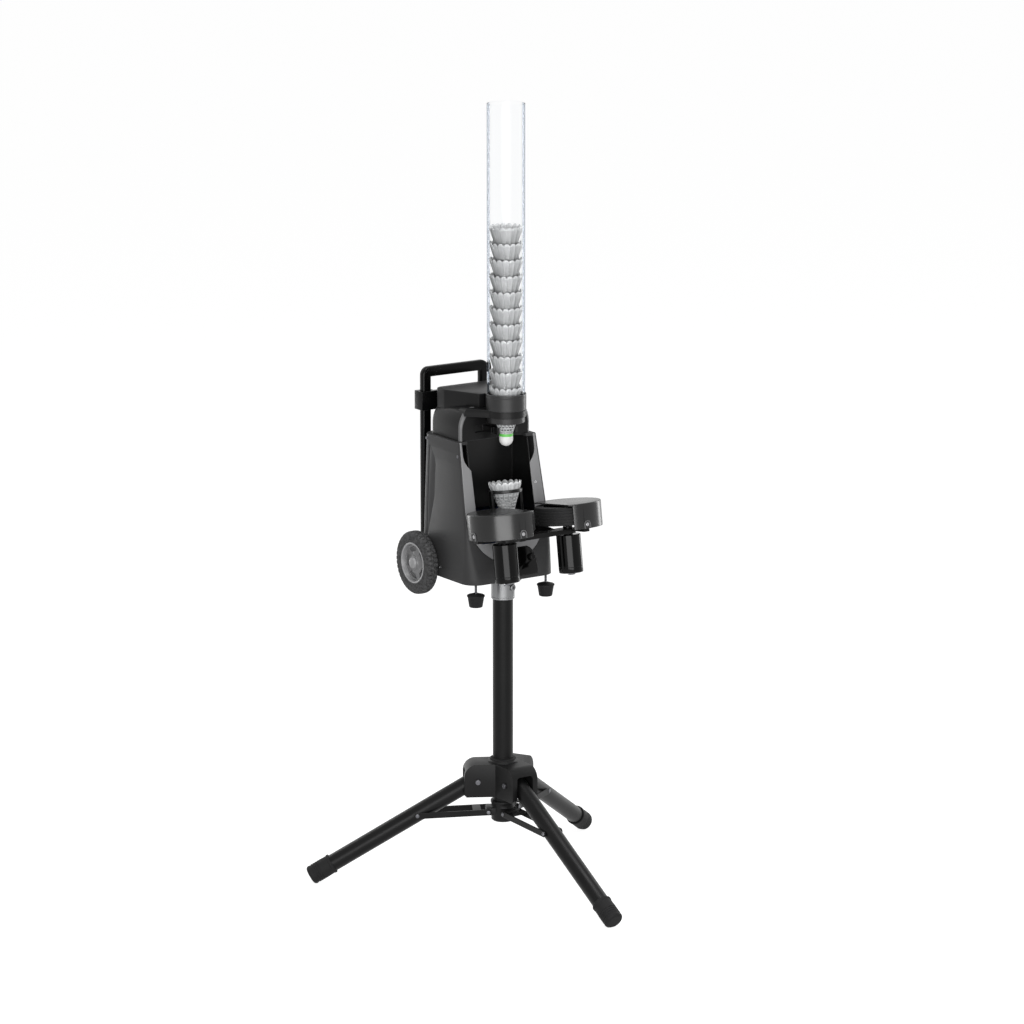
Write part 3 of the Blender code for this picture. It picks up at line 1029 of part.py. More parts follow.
def launch_head():
    """Tilting frame with two motors, wheels and guards, the cradle and its pusher."""
    tilt = (-math.radians(HEAD_TILT), 0.0, 0.0)
    pivot = empty("launch_pivot", (0.0, PIVOT_Y, PIVOT_Z), None, tilt)
    plate_front = WHEEL_Y - PLATE_AHEAD
    plate_back = WHEEL_Y + PLATE_BEHIND
    outline = rounded(-PLATE_HALF_W, plate_front, PLATE_HALF_W, plate_back, 0.012, 2)
    frame = add("launch_frame", prism(outline, PLATE_LOW, PLATE_TOP), BLACK_COAT, pivot)
    start = plate_back - 0.010
    corners = [(start, PLATE_LOW), (start, PLATE_TOP + 0.0005), (-ARM_RAMP, ARM_TOP), (-ARM_RAMP, PLATE_LOW)]
    side = hull(corners + circle(0.0, 0.0, PIVOT_BOSS_R, 12))
    for x in (-ARM_X, ARM_X):
        join(frame, prism(side, x - ARM_W / 2, x + ARM_W / 2, "X"), pivot)
    bridge = box(-ARM_X, -BRIDGE_FRONT, PLATE_LOW, ARM_X, -BRIDGE_BACK, PLATE_LOW + BRIDGE_THICK)
    join(frame, bridge, pivot)
    cut(frame, rod(SHAFT_R + FIT, -ARM_X * 2, ARM_X * 2, SMALL, "X"), pivot)
    shaft_end = POST_OUT + GEAR_W / 2 - 0.001
    add("tilt_shaft", rod(SHAFT_R, -POST_OUT - 0.002, shaft_end, SMALL, "X"), STEEL, pivot)

    for name, sign in (("left", -1.0), ("right", 1.0)):
        launcher(name, sign, pivot, frame)

    # The cradle stands on the frame's bridge: a seat for the cork and a hoop around the skirt
    place = (0.0, CRADLE_Y, 0.0)
    seat = box(-CRADLE_HALF_W, -CRADLE_FRONT, SEAT_LOW, CRADLE_HALF_W, CRADLE_BACK, CRADLE_FLOOR)
    slide = add("shuttle_cradle", seat, BLACK_MOULD, pivot, place)
    join(slide, ring(HOOP_R, HOOP_R + HOOP_WALL, HOOP_LEVEL, HOOP_TOP), pivot, place)
    for x in (-1.0, 1.0):
        near = min(x * (HOOP_R + 0.0002), x * (HOOP_R + 0.005))
        far = max(x * (HOOP_R + 0.0002), x * (HOOP_R + 0.005))
        join(slide, box(near, -0.004, SEAT_LOW, far, 0.004, HOOP_TOP - 0.0005), pivot, place)
    sill = HOOP_R + 0.004
    join(slide, box(-sill, -0.0035, SEAT_LOW + 0.0005, sill, 0.0035, CRADLE_FLOOR - 0.002), pivot, place)

    hollow = CORK_HEIGHT + 0.002
    points = shuttle_profile() + [(SHUTTLE_RIM_R - SKIRT_WALL, SHUTTLE_HEIGHT)]
    points += [(CORK_R - SKIRT_WALL + SKIRT_SLOPE * 0.002, hollow), (0.0, hollow)]
    single = turned(points, ROUND)
    raise_tips(single, [SHUTTLE_HEIGHT])
    add("loaded_shuttle", single, WHITE, pivot, (0.0, CRADLE_Y, CRADLE_FLOOR + FIT))

    # The pusher is a forked slider behind the cork
    fork_back = CRADLE_Y + CORK_R + FORK_BACK
    tip = CRADLE_Y + 0.004
    grip = CORK_R + FORK_PLAY
    wide = grip + FORK_WALL
    fork = [(-wide, fork_back), (wide, fork_back), (wide, tip), (grip + 0.0005, tip)]
    fork += arc(0.0, CRADLE_Y, grip, 20.0, 160.0, 8) + [(-grip - 0.0005, tip), (-wide, tip)]
    level = CRADLE_FLOOR + FIT + 0.008
    pusher = add("pusher", prism(fork, level, level + 0.012), BLACK_MOULD, pivot)
    runner = box(-wide, fork_back - 0.008, CRADLE_FLOOR + FIT, wide, fork_back - 0.0005, level + 0.0017)
    join(pusher, runner, pivot)
    arm = box(-0.006, fork_back - 0.003, level + 0.001, 0.006, fork_back + PUSH_ROD, level + 0.008)
    join(pusher, arm, pivot)


def launcher(name, sign, pivot, frame):
    """One motor with its wheel and the guard around its outer side."""
    x = sign * WHEEL_X
    place = (x, WHEEL_Y, 0.0)
    join(frame, rod(0.009, PLATE_LOW - MOTOR_BOSS, PLATE_TOP + 0.004, 12), pivot, place)
    inside = (GUARD_R - GUARD_WALL) * math.cos(math.pi / FINE) - FIT
    reach = math.sqrt(inside ** 2 - TAB_HALF_W ** 2)
    inner_x = 0.0 if sign > 0 else -reach
    outer_x = reach if sign > 0 else 0.0
    near_x = min(sign * reach, sign * (reach - TAB_LENGTH))
    far_x = max(sign * reach, sign * (reach - TAB_LENGTH))
    low = PLATE_TOP - 0.004
    top = PLATE_TOP - 0.0004
    tab_top = PLATE_TOP + TAB_RISE
    join(frame, box(inner_x, -TAB_HALF_W, low, outer_x, TAB_HALF_W, top), pivot, place)
    join(frame, box(-TAB_HALF_W, -reach, low, TAB_HALF_W, 0.0, top), pivot, place)
    join(frame, box(near_x, -TAB_HALF_W, low + 0.0005, far_x, TAB_HALF_W, tab_top), pivot, place)
    join(frame, box(-TAB_HALF_W, -reach, low + 0.0005, TAB_HALF_W, TAB_LENGTH - reach, tab_top), pivot, place)
    cut(frame, rod(MOTOR_SHAFT_R + 0.001, PLATE_LOW * 2, WHEEL_HIGH, SMALL), pivot, place)

    end = MOTOR_LOW - 0.004
    tip = WHEEL_HIGH - 0.004
    profile = [
        (0.0, end), (MOTOR_CAP_R, end), (MOTOR_CAP_R, MOTOR_LOW), (MOTOR_R - 0.002, MOTOR_LOW),
        (MOTOR_R, MOTOR_LOW + 0.002), (MOTOR_R, MOTOR_TOP - 0.001), (MOTOR_R - 0.001, MOTOR_TOP),
        (MOTOR_SHAFT_R, MOTOR_TOP), (MOTOR_SHAFT_R, tip), (0.0, tip)]
    add("launch_motor_" + name, turned(profile), BLACK_COAT, pivot, place)

    bore = MOTOR_SHAFT_R + RUN
    lip = WHEEL_CORE_R - 0.004
    web_low = WHEEL_LOW + 0.006
    web_high = WHEEL_HIGH - 0.006
    core = [
        (bore, WHEEL_LOW - WHEEL_BOSS), (WHEEL_BOSS_R, WHEEL_LOW - WHEEL_BOSS), (WHEEL_BOSS_R, web_low),
        (lip, web_low), (lip, WHEEL_LOW), (WHEEL_CORE_R, WHEEL_LOW), (WHEEL_CORE_R, WHEEL_HIGH),
        (lip, WHEEL_HIGH), (lip, web_high), (WHEEL_BOSS_R, web_high), (WHEEL_BOSS_R, WHEEL_HIGH - 0.001),
        (bore, WHEEL_HIGH - 0.001)]
    add("launch_wheel_core_" + name, turned(core), BLACK_MOULD, pivot, place)
    pad = [
        (WHEEL_CORE_R + FIT, WHEEL_LOW), (WHEEL_R - 0.002, WHEEL_LOW), (WHEEL_R, WHEEL_LOW + 0.002),
        (WHEEL_R, WHEEL_HIGH - 0.002), (WHEEL_R - 0.002, WHEEL_HIGH), (WHEEL_CORE_R + FIT, WHEEL_HIGH)]
    add("launch_wheel_tyre_" + name, turned(pad), RUBBER, pivot, place)

    # The guard is a cup with a flat roof, cut away towards the middle of the machine
    roof = WHEEL_HIGH + 0.003
    top = roof + GUARD_WALL
    inside = GUARD_R - GUARD_WALL
    cup = [(0.0, roof), (inside, roof), (inside, GUARD_LOW), (GUARD_R, GUARD_LOW),
           (GUARD_R, top - GUARD_EDGE), (GUARD_R - GUARD_EDGE, top), (0.0, top)]
    guard = add("wheel_guard_" + name, turned(cup, FINE), DARK_GREY, pivot, place)
    if sign < 0:
        turn = (180.0 + GUARD_FRONT_TURN, 540.0 - GUARD_REAR_TURN)
    else:
        turn = (-GUARD_FRONT_TURN, GUARD_REAR_TURN - 360.0)
    away = [(0.0, 0.0)] + arc(0.0, 0.0, GUARD_R * 2, turn[0], turn[1], 10)
    cut(guard, prism(away, GUARD_LOW - 0.01, roof), pivot, place)
    near = WHEEL_X - GUARD_INNER
    far = GUARD_R * 2
    away = box(-far, -far, GUARD_LOW - 0.01, -near, far, roof + 0.02)
    if sign < 0:
        away = box(near, -far, GUARD_LOW - 0.01, far, far, roof + 0.02)
    cut(guard, away, pivot, place)


def centre():
    """Carries everything by one empty, so that the origin is under the middle of the outline."""
    bpy.context.view_layer.update()
    graph = bpy.context.evaluated_depsgraph_get()
    levels = []
    for piece in bpy.data.objects:
        if piece.type == "MESH" and not piece.hide_render:
            solid = piece.evaluated_get(graph)
            levels += [(solid.matrix_world @ v.co).y for v in solid.data.vertices]
    roots = [piece for piece in bpy.data.objects if piece.parent is None]
    machine = empty("machine", (0.0, -(min(levels) + max(levels)) / 2, 0.0))
    for piece in roots:
        piece.parent = machine


tripod()
housing()
support()
feeder()
magazine()
trolley()
launch_head()
centre()
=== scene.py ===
import json
import math
import random

import bmesh
import bpy
from mathutils import Matrix, Vector
from mathutils.geometry import convex_hull_2d


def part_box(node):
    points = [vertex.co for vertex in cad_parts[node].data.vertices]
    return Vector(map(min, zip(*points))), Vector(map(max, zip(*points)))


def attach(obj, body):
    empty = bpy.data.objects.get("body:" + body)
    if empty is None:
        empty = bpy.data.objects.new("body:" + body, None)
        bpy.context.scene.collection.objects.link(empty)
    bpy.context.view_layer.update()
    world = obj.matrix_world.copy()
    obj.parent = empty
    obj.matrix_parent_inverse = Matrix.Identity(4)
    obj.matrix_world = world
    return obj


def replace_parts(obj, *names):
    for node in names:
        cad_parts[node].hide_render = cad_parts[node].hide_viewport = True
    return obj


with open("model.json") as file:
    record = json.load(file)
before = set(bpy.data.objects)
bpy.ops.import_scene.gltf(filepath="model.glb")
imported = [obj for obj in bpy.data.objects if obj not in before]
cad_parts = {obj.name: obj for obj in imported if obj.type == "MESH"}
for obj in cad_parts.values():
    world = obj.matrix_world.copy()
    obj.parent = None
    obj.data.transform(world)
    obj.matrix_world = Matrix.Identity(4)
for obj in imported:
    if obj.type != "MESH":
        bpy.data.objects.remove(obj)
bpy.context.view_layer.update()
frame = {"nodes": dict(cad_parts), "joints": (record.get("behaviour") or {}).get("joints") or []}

nodes = frame["nodes"]
joints = {joint["name"]: joint for joint in frame["joints"]}

# Photo studio: a seamless pale floor, a broad soft box beside the lens, a strip on either side and one above.
# The long lens looks down a little, aimed so that the foot of the pole falls where the photograph has it.
BEARING = math.radians(34.0)
CAMERA_REACH = 8.0
CAMERA_HEIGHT = 2.55
PICTURE = 1024
FOCAL_PIXELS = 4327.0
POLE_FOOT_PIXEL = (503.0, 877.9)
SENSOR = 36.0
pole_low, pole_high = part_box("pole")
pole_y = (pole_low.y + pole_high.y) / 2

lens = bpy.data.cameras.new("studio camera")
lens.sensor_width = SENSOR
lens.lens = SENSOR * FOCAL_PIXELS / PICTURE
lens.clip_end = 200.0
camera = bpy.data.objects.new("studio camera", lens)
camera.location = (-CAMERA_REACH * math.sin(BEARING), pole_y - CAMERA_REACH * math.cos(BEARING), CAMERA_HEIGHT)
below = math.atan((POLE_FOOT_PIXEL[1] - PICTURE / 2) / FOCAL_PIXELS)
pitch = math.atan2(CAMERA_HEIGHT, CAMERA_REACH) - below
depth = math.hypot(CAMERA_REACH, CAMERA_HEIGHT) * math.cos(below)
yaw = math.asin((PICTURE / 2 - POLE_FOOT_PIXEL[0]) / FOCAL_PIXELS * depth / CAMERA_REACH)
camera.rotation_euler = (math.pi / 2 - pitch, 0.0, -BEARING - yaw)
bpy.context.collection.objects.link(camera)
bpy.context.scene.camera = camera
bpy.context.scene.view_settings.view_transform = "Standard"
LAMP_AIM = Vector((0.0, 0.0, 0.75))


def soft_box(name, azimuth, reach, height, watts, wide, tall):
    """A rectangular lamp that faces the machine from an azimuth counted from +X."""
    light = bpy.data.lights.new(name, "AREA")
    light.shape = "RECTANGLE"
    light.size = wide
    light.size_y = tall
    light.energy = watts
    box = bpy.data.objects.new(name, light)
    a = math.radians(azimuth)
    box.location = (reach * math.cos(a), reach * math.sin(a), height)
    box.rotation_euler = (LAMP_AIM - box.location).to_track_quat("-Z", "Y").to_euler()
    box.visible_camera = False
    bpy.context.collection.objects.link(box)


soft_box("key soft box", 238.0, 3.4, 1.00, 100.0, 3.2, 1.5)
soft_box("right strip box", 8.0, 2.8, 1.1, 24.0, 0.6, 2.0)
soft_box("left strip box", 100.0, 2.8, 1.1, 16.0, 0.5, 2.0)
soft_box("top soft box", 250.0, 0.5, 3.3, 52.0, 1.7, 1.2)


def feed(tree, node, sockets):
    """Gives each socket its value, or links it to the output that is given."""
    for socket, value in sockets.items():
        if isinstance(value, bpy.types.NodeSocket):
            tree.links.new(value, node.inputs[socket])
        else:
            node.inputs[socket].default_value = value


def add_node(tree, kind, sockets={}, **traits):
    """A shader node with its traits set and its sockets fed."""
    made = tree.nodes.new("ShaderNode" + kind)
    for trait, value in traits.items():
        setattr(made, trait, value)
    feed(tree, made, sockets)
    return made


def sees_background(tree):
    """1 for the rays that show the background: camera, glossy and transmission."""
    rays = add_node(tree, "LightPath").outputs
    first = add_node(tree, "Math", {0: rays["Is Camera Ray"], 1: rays["Is Glossy Ray"]}, operation="MAXIMUM")
    both = add_node(tree, "Math", {0: first.outputs[0], 1: rays["Is Transmission Ray"]}, operation="MAXIMUM")
    return both.outputs[0]


WHITE = (1.0, 1.0, 1.0, 1.0)
WALL_LIGHT = 0.3
world = bpy.data.worlds.new("studio walls")
world.use_nodes = True
bpy.context.scene.world = world
tree = world.node_tree
walls = tree.nodes["Background"]
feed(tree, walls, {"Color": WHITE, "Strength": WALL_LIGHT})
seen_walls = add_node(tree, "Background", {"Color": WHITE, "Strength": 1.0})
choose = add_node(tree, "MixShader", {"Fac": sees_background(tree), 1: walls.outputs[0], 2: seen_walls.outputs[0]})
feed(tree, tree.nodes["World Output"], {"Surface": choose.outputs[0]})

FLOOR_SPAN = 60.0
FLOOR_DROP = 0.0006
FLOOR_GLOW = 0.87
floor_mesh = bpy.data.meshes.new("studio floor")
corners = [(x * FLOOR_SPAN, y * FLOOR_SPAN, -FLOOR_DROP) for x, y in ((-1, -1), (1, -1), (1, 1), (-1, 1))]
floor_mesh.from_pydata(corners, [], [(0, 1, 2, 3)])
floor = bpy.data.objects.new("studio_floor", floor_mesh)
bpy.context.collection.objects.link(floor)
paper = bpy.data.materials.new("white paper floor")
paper.use_nodes = True
tree = paper.node_tree
tree.nodes.remove(tree.nodes["Principled BSDF"])
fibres = add_node(tree, "TexNoise", {"Scale": 6.0})
shade = add_node(tree, "MapRange", {"To Min": 0.38, "To Max": 0.41, "Value": fibres.outputs["Fac"]})
matte = add_node(tree, "BsdfDiffuse", {"Color": shade.outputs[0]})
lift = add_node(tree, "Math", {0: sees_background(tree), 1: FLOOR_GLOW}, operation="MULTIPLY")
glow = add_node(tree, "Emission", {"Strength": lift.outputs[0]})
both = add_node(tree, "AddShader", {0: matte.outputs[0], 1: glow.outputs[0]})
feed(tree, tree.nodes["Material Output"], {"Surface": both.outputs[0]})
floor_mesh.materials.append(paper)

# Pole and its lower collar: a drawn steel tube, powder coated satin black, and a moulded nylon collar pressed
# on its foot, with an ear for each strut. Most materials share one skin of clouds, grain and lighter edges,
# which are edge wear on most and a painted highlight on the grey mouth panel and the guards.
group = bpy.data.node_groups.new("skin with edge wear and highlight", "ShaderNodeTree")
for name, value in (
        ("Colour", (0.02, 0.02, 0.02, 1.0)), ("Cloud colour", (0.03, 0.03, 0.03, 1.0)),
        ("Edge colour", (0.2, 0.2, 0.2, 1.0)), ("Cloud scale", 12.0), ("Grain scale", 900.0),
        ("Grain height", 0.0001), ("Edge radius", 0.0008), ("Edge wear", 0.2), ("Smoothest", 0.3), ("Roughest", 0.5)):
    kind = "NodeSocketFloat" if isinstance(value, float) else "NodeSocketColor"
    group.interface.new_socket(name, in_out="INPUT", socket_type=kind).default_value = value
for name, kind in (("Colour", "Color"), ("Roughness", "Float"), ("Normal", "Vector")):
    group.interface.new_socket(name, in_out="OUTPUT", socket_type="NodeSocket" + kind)
given = group.nodes.new("NodeGroupInput").outputs
place = add_node(group, "TexCoord").outputs["Object"]
cloud = add_node(group, "TexNoise", {"Detail": 4.0, "Vector": place, "Scale": given["Cloud scale"]})
spread = add_node(group, "MapRange", {"From Min": 0.35, "From Max": 0.65, "Value": cloud.outputs["Fac"]})
tint = add_node(group, "Mix", {"Factor": spread.outputs[0], "A": given["Colour"], "B": given["Cloud colour"]},
                data_type="RGBA")
soft = add_node(group, "Bevel", {"Radius": given["Edge radius"]}, samples=4)
facing = add_node(group, "NewGeometry")
turn = add_node(group, "VectorMath", {0: soft.outputs[0], 1: facing.outputs["Normal"]}, operation="DOT_PRODUCT")
# Edge mask: near rounded edges the colour turns towards the edge tint, as edge wear; on the grey mouth panel and the
# guards the lighter edge is a painted highlight.
edge = add_node(group, "MapRange", {"From Min": 0.995, "From Max": 0.85, "Value": turn.outputs["Value"]})
wear_and_highlight = add_node(group, "Math", {0: edge.outputs[0], 1: given["Edge wear"]}, operation="MULTIPLY")
wear_and_highlight_mix = add_node(group, "Mix", {"Factor": wear_and_highlight.outputs[0], "A": tint.outputs["Result"], "B": given["Edge colour"]},
               data_type="RGBA")
gloss = add_node(group, "MapRange", {"From Min": 0.3, "From Max": 0.7, "Value": cloud.outputs["Fac"],
                                     "To Min": given["Smoothest"], "To Max": given["Roughest"]})
grain = add_node(group, "TexNoise", {"Detail": 2.0, "Vector": place, "Scale": given["Grain scale"]})
relief = add_node(group, "Bump", {"Distance": given["Grain height"], "Height": grain.outputs["Fac"],
                                  "Normal": soft.outputs[0]})
feed(group, group.nodes.new("NodeGroupOutput"), {
    "Colour": wear_and_highlight_mix.outputs["Result"], "Roughness": gloss.outputs[0], "Normal": relief.outputs[0]})


def as_colour(colour):
    """A colour with its alpha; one number stands for a faintly cool grey."""
    return (*colour, 1.0) if isinstance(colour, tuple) else (colour, colour, colour * 1.02, 1.0)


def finish(name, colour, cloud_colour, smooth, rough, grain=(900.0, 0.00006), edge=(0.0008, 0.15),
           cloud=14.0, metal=0.0, edge_tint_of_wear_and_highlight=(0.22, 0.22, 0.23), shine=0.5):
    """A material on one Principled shader, with its skin from the shared group."""
    made = bpy.data.materials.new(name)
    made.use_nodes = True
    tree = made.node_tree
    skin = tree.nodes.new("ShaderNodeGroup")
    skin.node_tree = group
    feed(tree, skin, {
        "Colour": as_colour(colour), "Cloud colour": as_colour(cloud_colour), "Edge colour": as_colour(edge_tint_of_wear_and_highlight),
        "Cloud scale": cloud, "Grain scale": grain[0], "Grain height": grain[1], "Edge radius": edge[0],
        "Edge wear": edge[1], "Smoothest": smooth, "Roughest": rough})
    feed(tree, tree.nodes["Principled BSDF"], {
        "Base Color": skin.outputs["Colour"], "Roughness": skin.outputs["Roughness"],
        "Normal": skin.outputs["Normal"], "Metallic": metal, "Specular IOR Level": shine})
    return made


def place_mesh(name, mesh, material, body, sharp=32.0):
    """Makes an object of a bmesh in the row frame and lets it ride on a body."""
    bmesh.ops.recalc_face_normals(mesh, faces=mesh.faces)
    data = bpy.data.meshes.new(name)
    mesh.to_mesh(data)
    mesh.free()
    data.materials.append(material)
    data.shade_smooth()
    data.set_sharp_from_angle(angle=math.radians(sharp))
    piece = bpy.data.objects.new(name, data)
    bpy.context.collection.objects.link(piece)
    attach(piece, body)
    return piece


def polar(radius, angle, height=0.0):
    """A point at a radius and an angle about Z."""
    return Vector((radius * math.cos(angle), radius * math.sin(angle), height))


def quarter(steps):
    """Angles over a quarter turn."""
    return [math.pi / 2 * i / steps for i in range(steps + 1)]


def swung(matrix, degrees):
    """A matrix turned about its own Z axis."""
    return matrix @ Matrix.Rotation(math.radians(degrees), 4, "Z")


def offset(radius, level, points):
    """A profile that is given from one radius and one level, moved out and up to them."""
    return [(radius + r, level + z) for r, z in points]


def pipe(bore, radius, low, high, low_edge, high_edge):
    """The wall of a tube with both outer edges knocked off."""
    return [(bore, low), (radius - low_edge, low), (radius, low + low_edge), (radius, high - high_edge),
            (radius - high_edge, high), (bore, high)]


def quilt(mesh, rows, closed=True):
    """Faces between neighbouring rows of equally many points."""
    for lower, upper in zip(rows, rows[1:]):
        for i in range(len(lower) - (not closed)):
            j = (i + 1) % len(lower)
            mesh.faces.new((lower[i], lower[j], upper[j], upper[i]))


def revolve(profile, matrix=Matrix.Identity(4), steps=64):
    """A profile of (radius, height) points turned about the matrix's Z axis."""
    mesh = bmesh.new()
    rings = []
    for radius, height in profile:
        if radius < 1e-7:
            rings.append([mesh.verts.new(matrix @ Vector((0.0, 0.0, height)))] * steps)
        else:
            rings.append([mesh.verts.new(matrix @ polar(radius, 2.0 * math.pi * i / steps, height))
                          for i in range(steps)])
    pairs = list(zip(rings, rings[1:]))
    if profile[0][0] > 1e-7 and profile[-1][0] > 1e-7:
        pairs.append((rings[-1], rings[0]))
    for a, b in pairs:
        for i in range(steps):
            j = (i + 1) % steps
            face = list(dict.fromkeys((a[i], a[j], b[j], b[i])))
            if len(face) > 2:
                mesh.faces.new(face)
    return mesh


def rod(radius, low, high, matrix, steps=96):
    """A solid cylinder about the matrix's Z axis."""
    return revolve([(0.0, low), (radius, low), (radius, high), (0.0, high)], matrix, steps)


def turned(name, profile, matrix, material, body, steps=64):
    return place_mesh(name, revolve(profile, matrix, steps), material, body)


def along(point, direction):
    """A matrix whose Z axis is the direction and whose origin is the point."""
    return Matrix.Translation(Vector(point)) @ Vector(direction).to_track_quat("Z", "Y").to_matrix().to_4x4()


def skinned(rings, matrix=Matrix.Identity(4)):
    """A closed solid through rings of equally many points, with flat ends."""
    mesh = bmesh.new()
    rows = [[mesh.verts.new(matrix @ Vector(p)) for p in ring] for ring in rings]
    quilt(mesh, rows)
    mesh.faces.new(rows[0][::-1])
    mesh.faces.new(rows[-1])
    bmesh.ops.recalc_face_normals(mesh, faces=mesh.faces)
    return mesh


def slab(outline, low, high, axis="Z", matrix=Matrix.Identity(4)):
    """An outline extruded along an axis: (x, y) along Z, (x, z) along Y, (y, z) along X."""
    place = {
        "X": lambda a, b, h: (h, a, b),
        "Y": lambda a, b, h: (a, h, b),
        "Z": lambda a, b, h: (a, b, h),
    }[axis]
    return skinned([[place(a, b, h) for a, b in outline] for h in (low, high)], matrix)


def brick(low, high, matrix=Matrix.Identity(4)):
    outline = [(low[0], low[1]), (high[0], low[1]), (high[0], high[1]), (low[0], high[1])]
    return slab(outline, low[2], high[2], "Z", matrix)


def bow(cx, cy, radius, start, end, steps):
    """Points along a circle, with angles in degrees."""
    turns = [math.radians(start + (end - start) * i / steps) for i in range(steps + 1)]
    return [(cx + radius * math.cos(a), cy + radius * math.sin(a)) for a in turns]


def rounded(x0, y0, x1, y1, radii, steps=8):
    """A rectangle with round corners: lower left, lower right, upper right, upper left."""
    if not isinstance(radii, (tuple, list)):
        radii = (radii,) * 4
    return (bow(x0 + radii[0], y0 + radii[0], radii[0], 180.0, 270.0, steps)
            + bow(x1 - radii[1], y0 + radii[1], radii[1], 270.0, 360.0, steps)
            + bow(x1 - radii[2], y1 - radii[2], radii[2], 0.0, 90.0, steps)
            + bow(x0 + radii[3], y1 - radii[3], radii[3], 90.0, 180.0, steps))


def fitted(name, blank, material, body, adds=(), cuts=(), edge=0.0, segments=2):
    """Joins pieces to a blank, cuts others out of it, rounds its edges and places what is left."""
    work = []
    for mesh in (blank, *adds, *cuts):
        data = bpy.data.meshes.new("blank")
        mesh.to_mesh(data)
        mesh.free()
        piece = bpy.data.objects.new("blank", data)
        bpy.context.collection.objects.link(piece)
        work.append(piece)
    for i, tool in enumerate(work[1:]):
        step = work[0].modifiers.new("step", "BOOLEAN")
        step.operation = "UNION" if i < len(adds) else "DIFFERENCE"
        step.solver = "EXACT"
        step.object = tool
    if edge:
        softened = work[0].modifiers.new("edge", "BEVEL")
        softened.width = edge
        softened.segments = segments
        softened.limit_method = "ANGLE"
        softened.angle_limit = math.radians(38)
    graph = bpy.context.evaluated_depsgraph_get()
    done = bpy.data.meshes.new_from_object(work[0].evaluated_get(graph))
    mesh = bmesh.new()
    mesh.from_mesh(done)
    bpy.data.meshes.remove(done)
    for piece in work:
        data = piece.data
        bpy.data.objects.remove(piece, do_unlink=True)
        bpy.data.meshes.remove(data)
    bmesh.ops.remove_doubles(mesh, verts=mesh.verts, dist=1e-6)
    bmesh.ops.dissolve_degenerate(mesh, edges=mesh.edges, dist=1e-6)
    return place_mesh(name, mesh, material, body)


powder_coat = finish("satin black powder coat", 0.0032, 0.0046, 0.3, 0.4,
                     grain=(1600.0, 0.00003), edge=(0.0008, 0.05), shine=0.143)
nylon = finish("black moulded nylon", 0.0042, 0.0062, 0.36, 0.46, edge=(0.001, 0.06),
               shine=0.169)
pole_radius = (pole_high.x - pole_low.x) / 2
POLE_BORE = 0.0175
tube = pipe(POLE_BORE, pole_radius, pole_low.z, pole_high.z, 0.0004, 0.0004)
upright = Matrix.Translation((0.0, pole_y, 0.0))
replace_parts(turned("pole_tube", tube, upright, powder_coat, "stand", 96), "pole")

LEG_AZIMUTHS = {"front": 270.0, "left": 150.0, "right": 30.0}
EAR_REACH = 0.035
EAR_HALF = 0.0165
collar_low, collar_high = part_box("lower_collar")
pin_z = (collar_low.z + collar_high.z) / 2
COLLAR_WALL = 0.003
collar_radius = pole_radius + COLLAR_WALL
collar = [(0.0, collar_low.z), (collar_radius - 0.003, collar_low.z), (collar_radius, collar_low.z + 0.003)]
collar += offset(collar_radius, collar_high.z, [(0.0, -0.006), (0.0014, -0.005), (0.0014, -0.001), (0.0006, 0.0)])
collar = revolve(collar + [(0.0, collar_high.z)], upright, 96)
ears = []
for azimuth in LEG_AZIMUTHS.values():
    out = swung(upright, azimuth)
    outline = rounded(0.01, pin_z - 0.007, EAR_REACH, pin_z + 0.007, (0.001, 0.006, 0.006, 0.001), 6)
    ears.append(slab(outline, -EAR_HALF, EAR_HALF, "Y", out))
bore = rod(pole_radius + 0.0002, collar_low.z + 0.004, collar_high.z + 0.01, upright)
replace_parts(fitted("foot_collar", collar, nylon, "stand", ears, [bore], 0.0012), "lower_collar")

# Hub: one moulded piece that slides on the pole, with a forked lug for each leg and a bolt through it. A
# rubber seal lies round the pole on its top, and each bolt has a socket head.
zinc = finish("dark zinc plated steel", (0.1, 0.1, 0.11), (0.14, 0.14, 0.15), 0.3, 0.42, metal=1.0,
              grain=(1200.0, 0.00002), edge=(0.0004, 0.3), edge_tint_of_wear_and_highlight=(0.4, 0.4, 0.4))


def carry_over(material, *names):
    """CAD nodes that keep their shape: shaded smooth between hard edges, in one material."""
    for name in names:
        solid = nodes[name]
        solid.data.materials.clear()
        solid.data.materials.append(material)
        for face in solid.data.polygons:
            face.use_smooth = True
            face.material_index = 0
        weld = solid.modifiers.new("weld", "WELD")
        weld.merge_threshold = 0.00002
        split = solid.modifiers.new("hard edges", "EDGE_SPLIT")
        split.split_angle = math.radians(32)


carry_over(zinc, "leg_bolt_front", "leg_bolt_left", "leg_bolt_right")
HUB_CORE = 0.0285
LUG_REACH = 0.0758
LUG_HALF = 0.0288
LUG_ROUND = 0.024
SLOT_HALF = 0.018
hub_low, hub_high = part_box("hub")
bolt_z = joints["leg_fold_front"]["pos_m"][2]
lug_top = hub_high.z - 0.005
core = revolve([(0.0, hub_low.z), (HUB_CORE - 0.002, hub_low.z), (HUB_CORE, hub_low.z + 0.002),
                (HUB_CORE, hub_high.z - 0.003), (HUB_CORE - 0.003, hub_high.z), (0.0, hub_high.z)], upright, 96)
lug_side = [(-0.004, hub_low.z + 0.0006), (LUG_REACH - 0.004, hub_low.z + 0.0006), (LUG_REACH, hub_low.z + 0.005)]
lug_side += bow(LUG_REACH - LUG_ROUND, lug_top - LUG_ROUND, LUG_ROUND, 0.0, 90.0, 12) + [(-0.004, lug_top)]
slot_roof = bolt_z + 0.019
lugs = []
slots = []
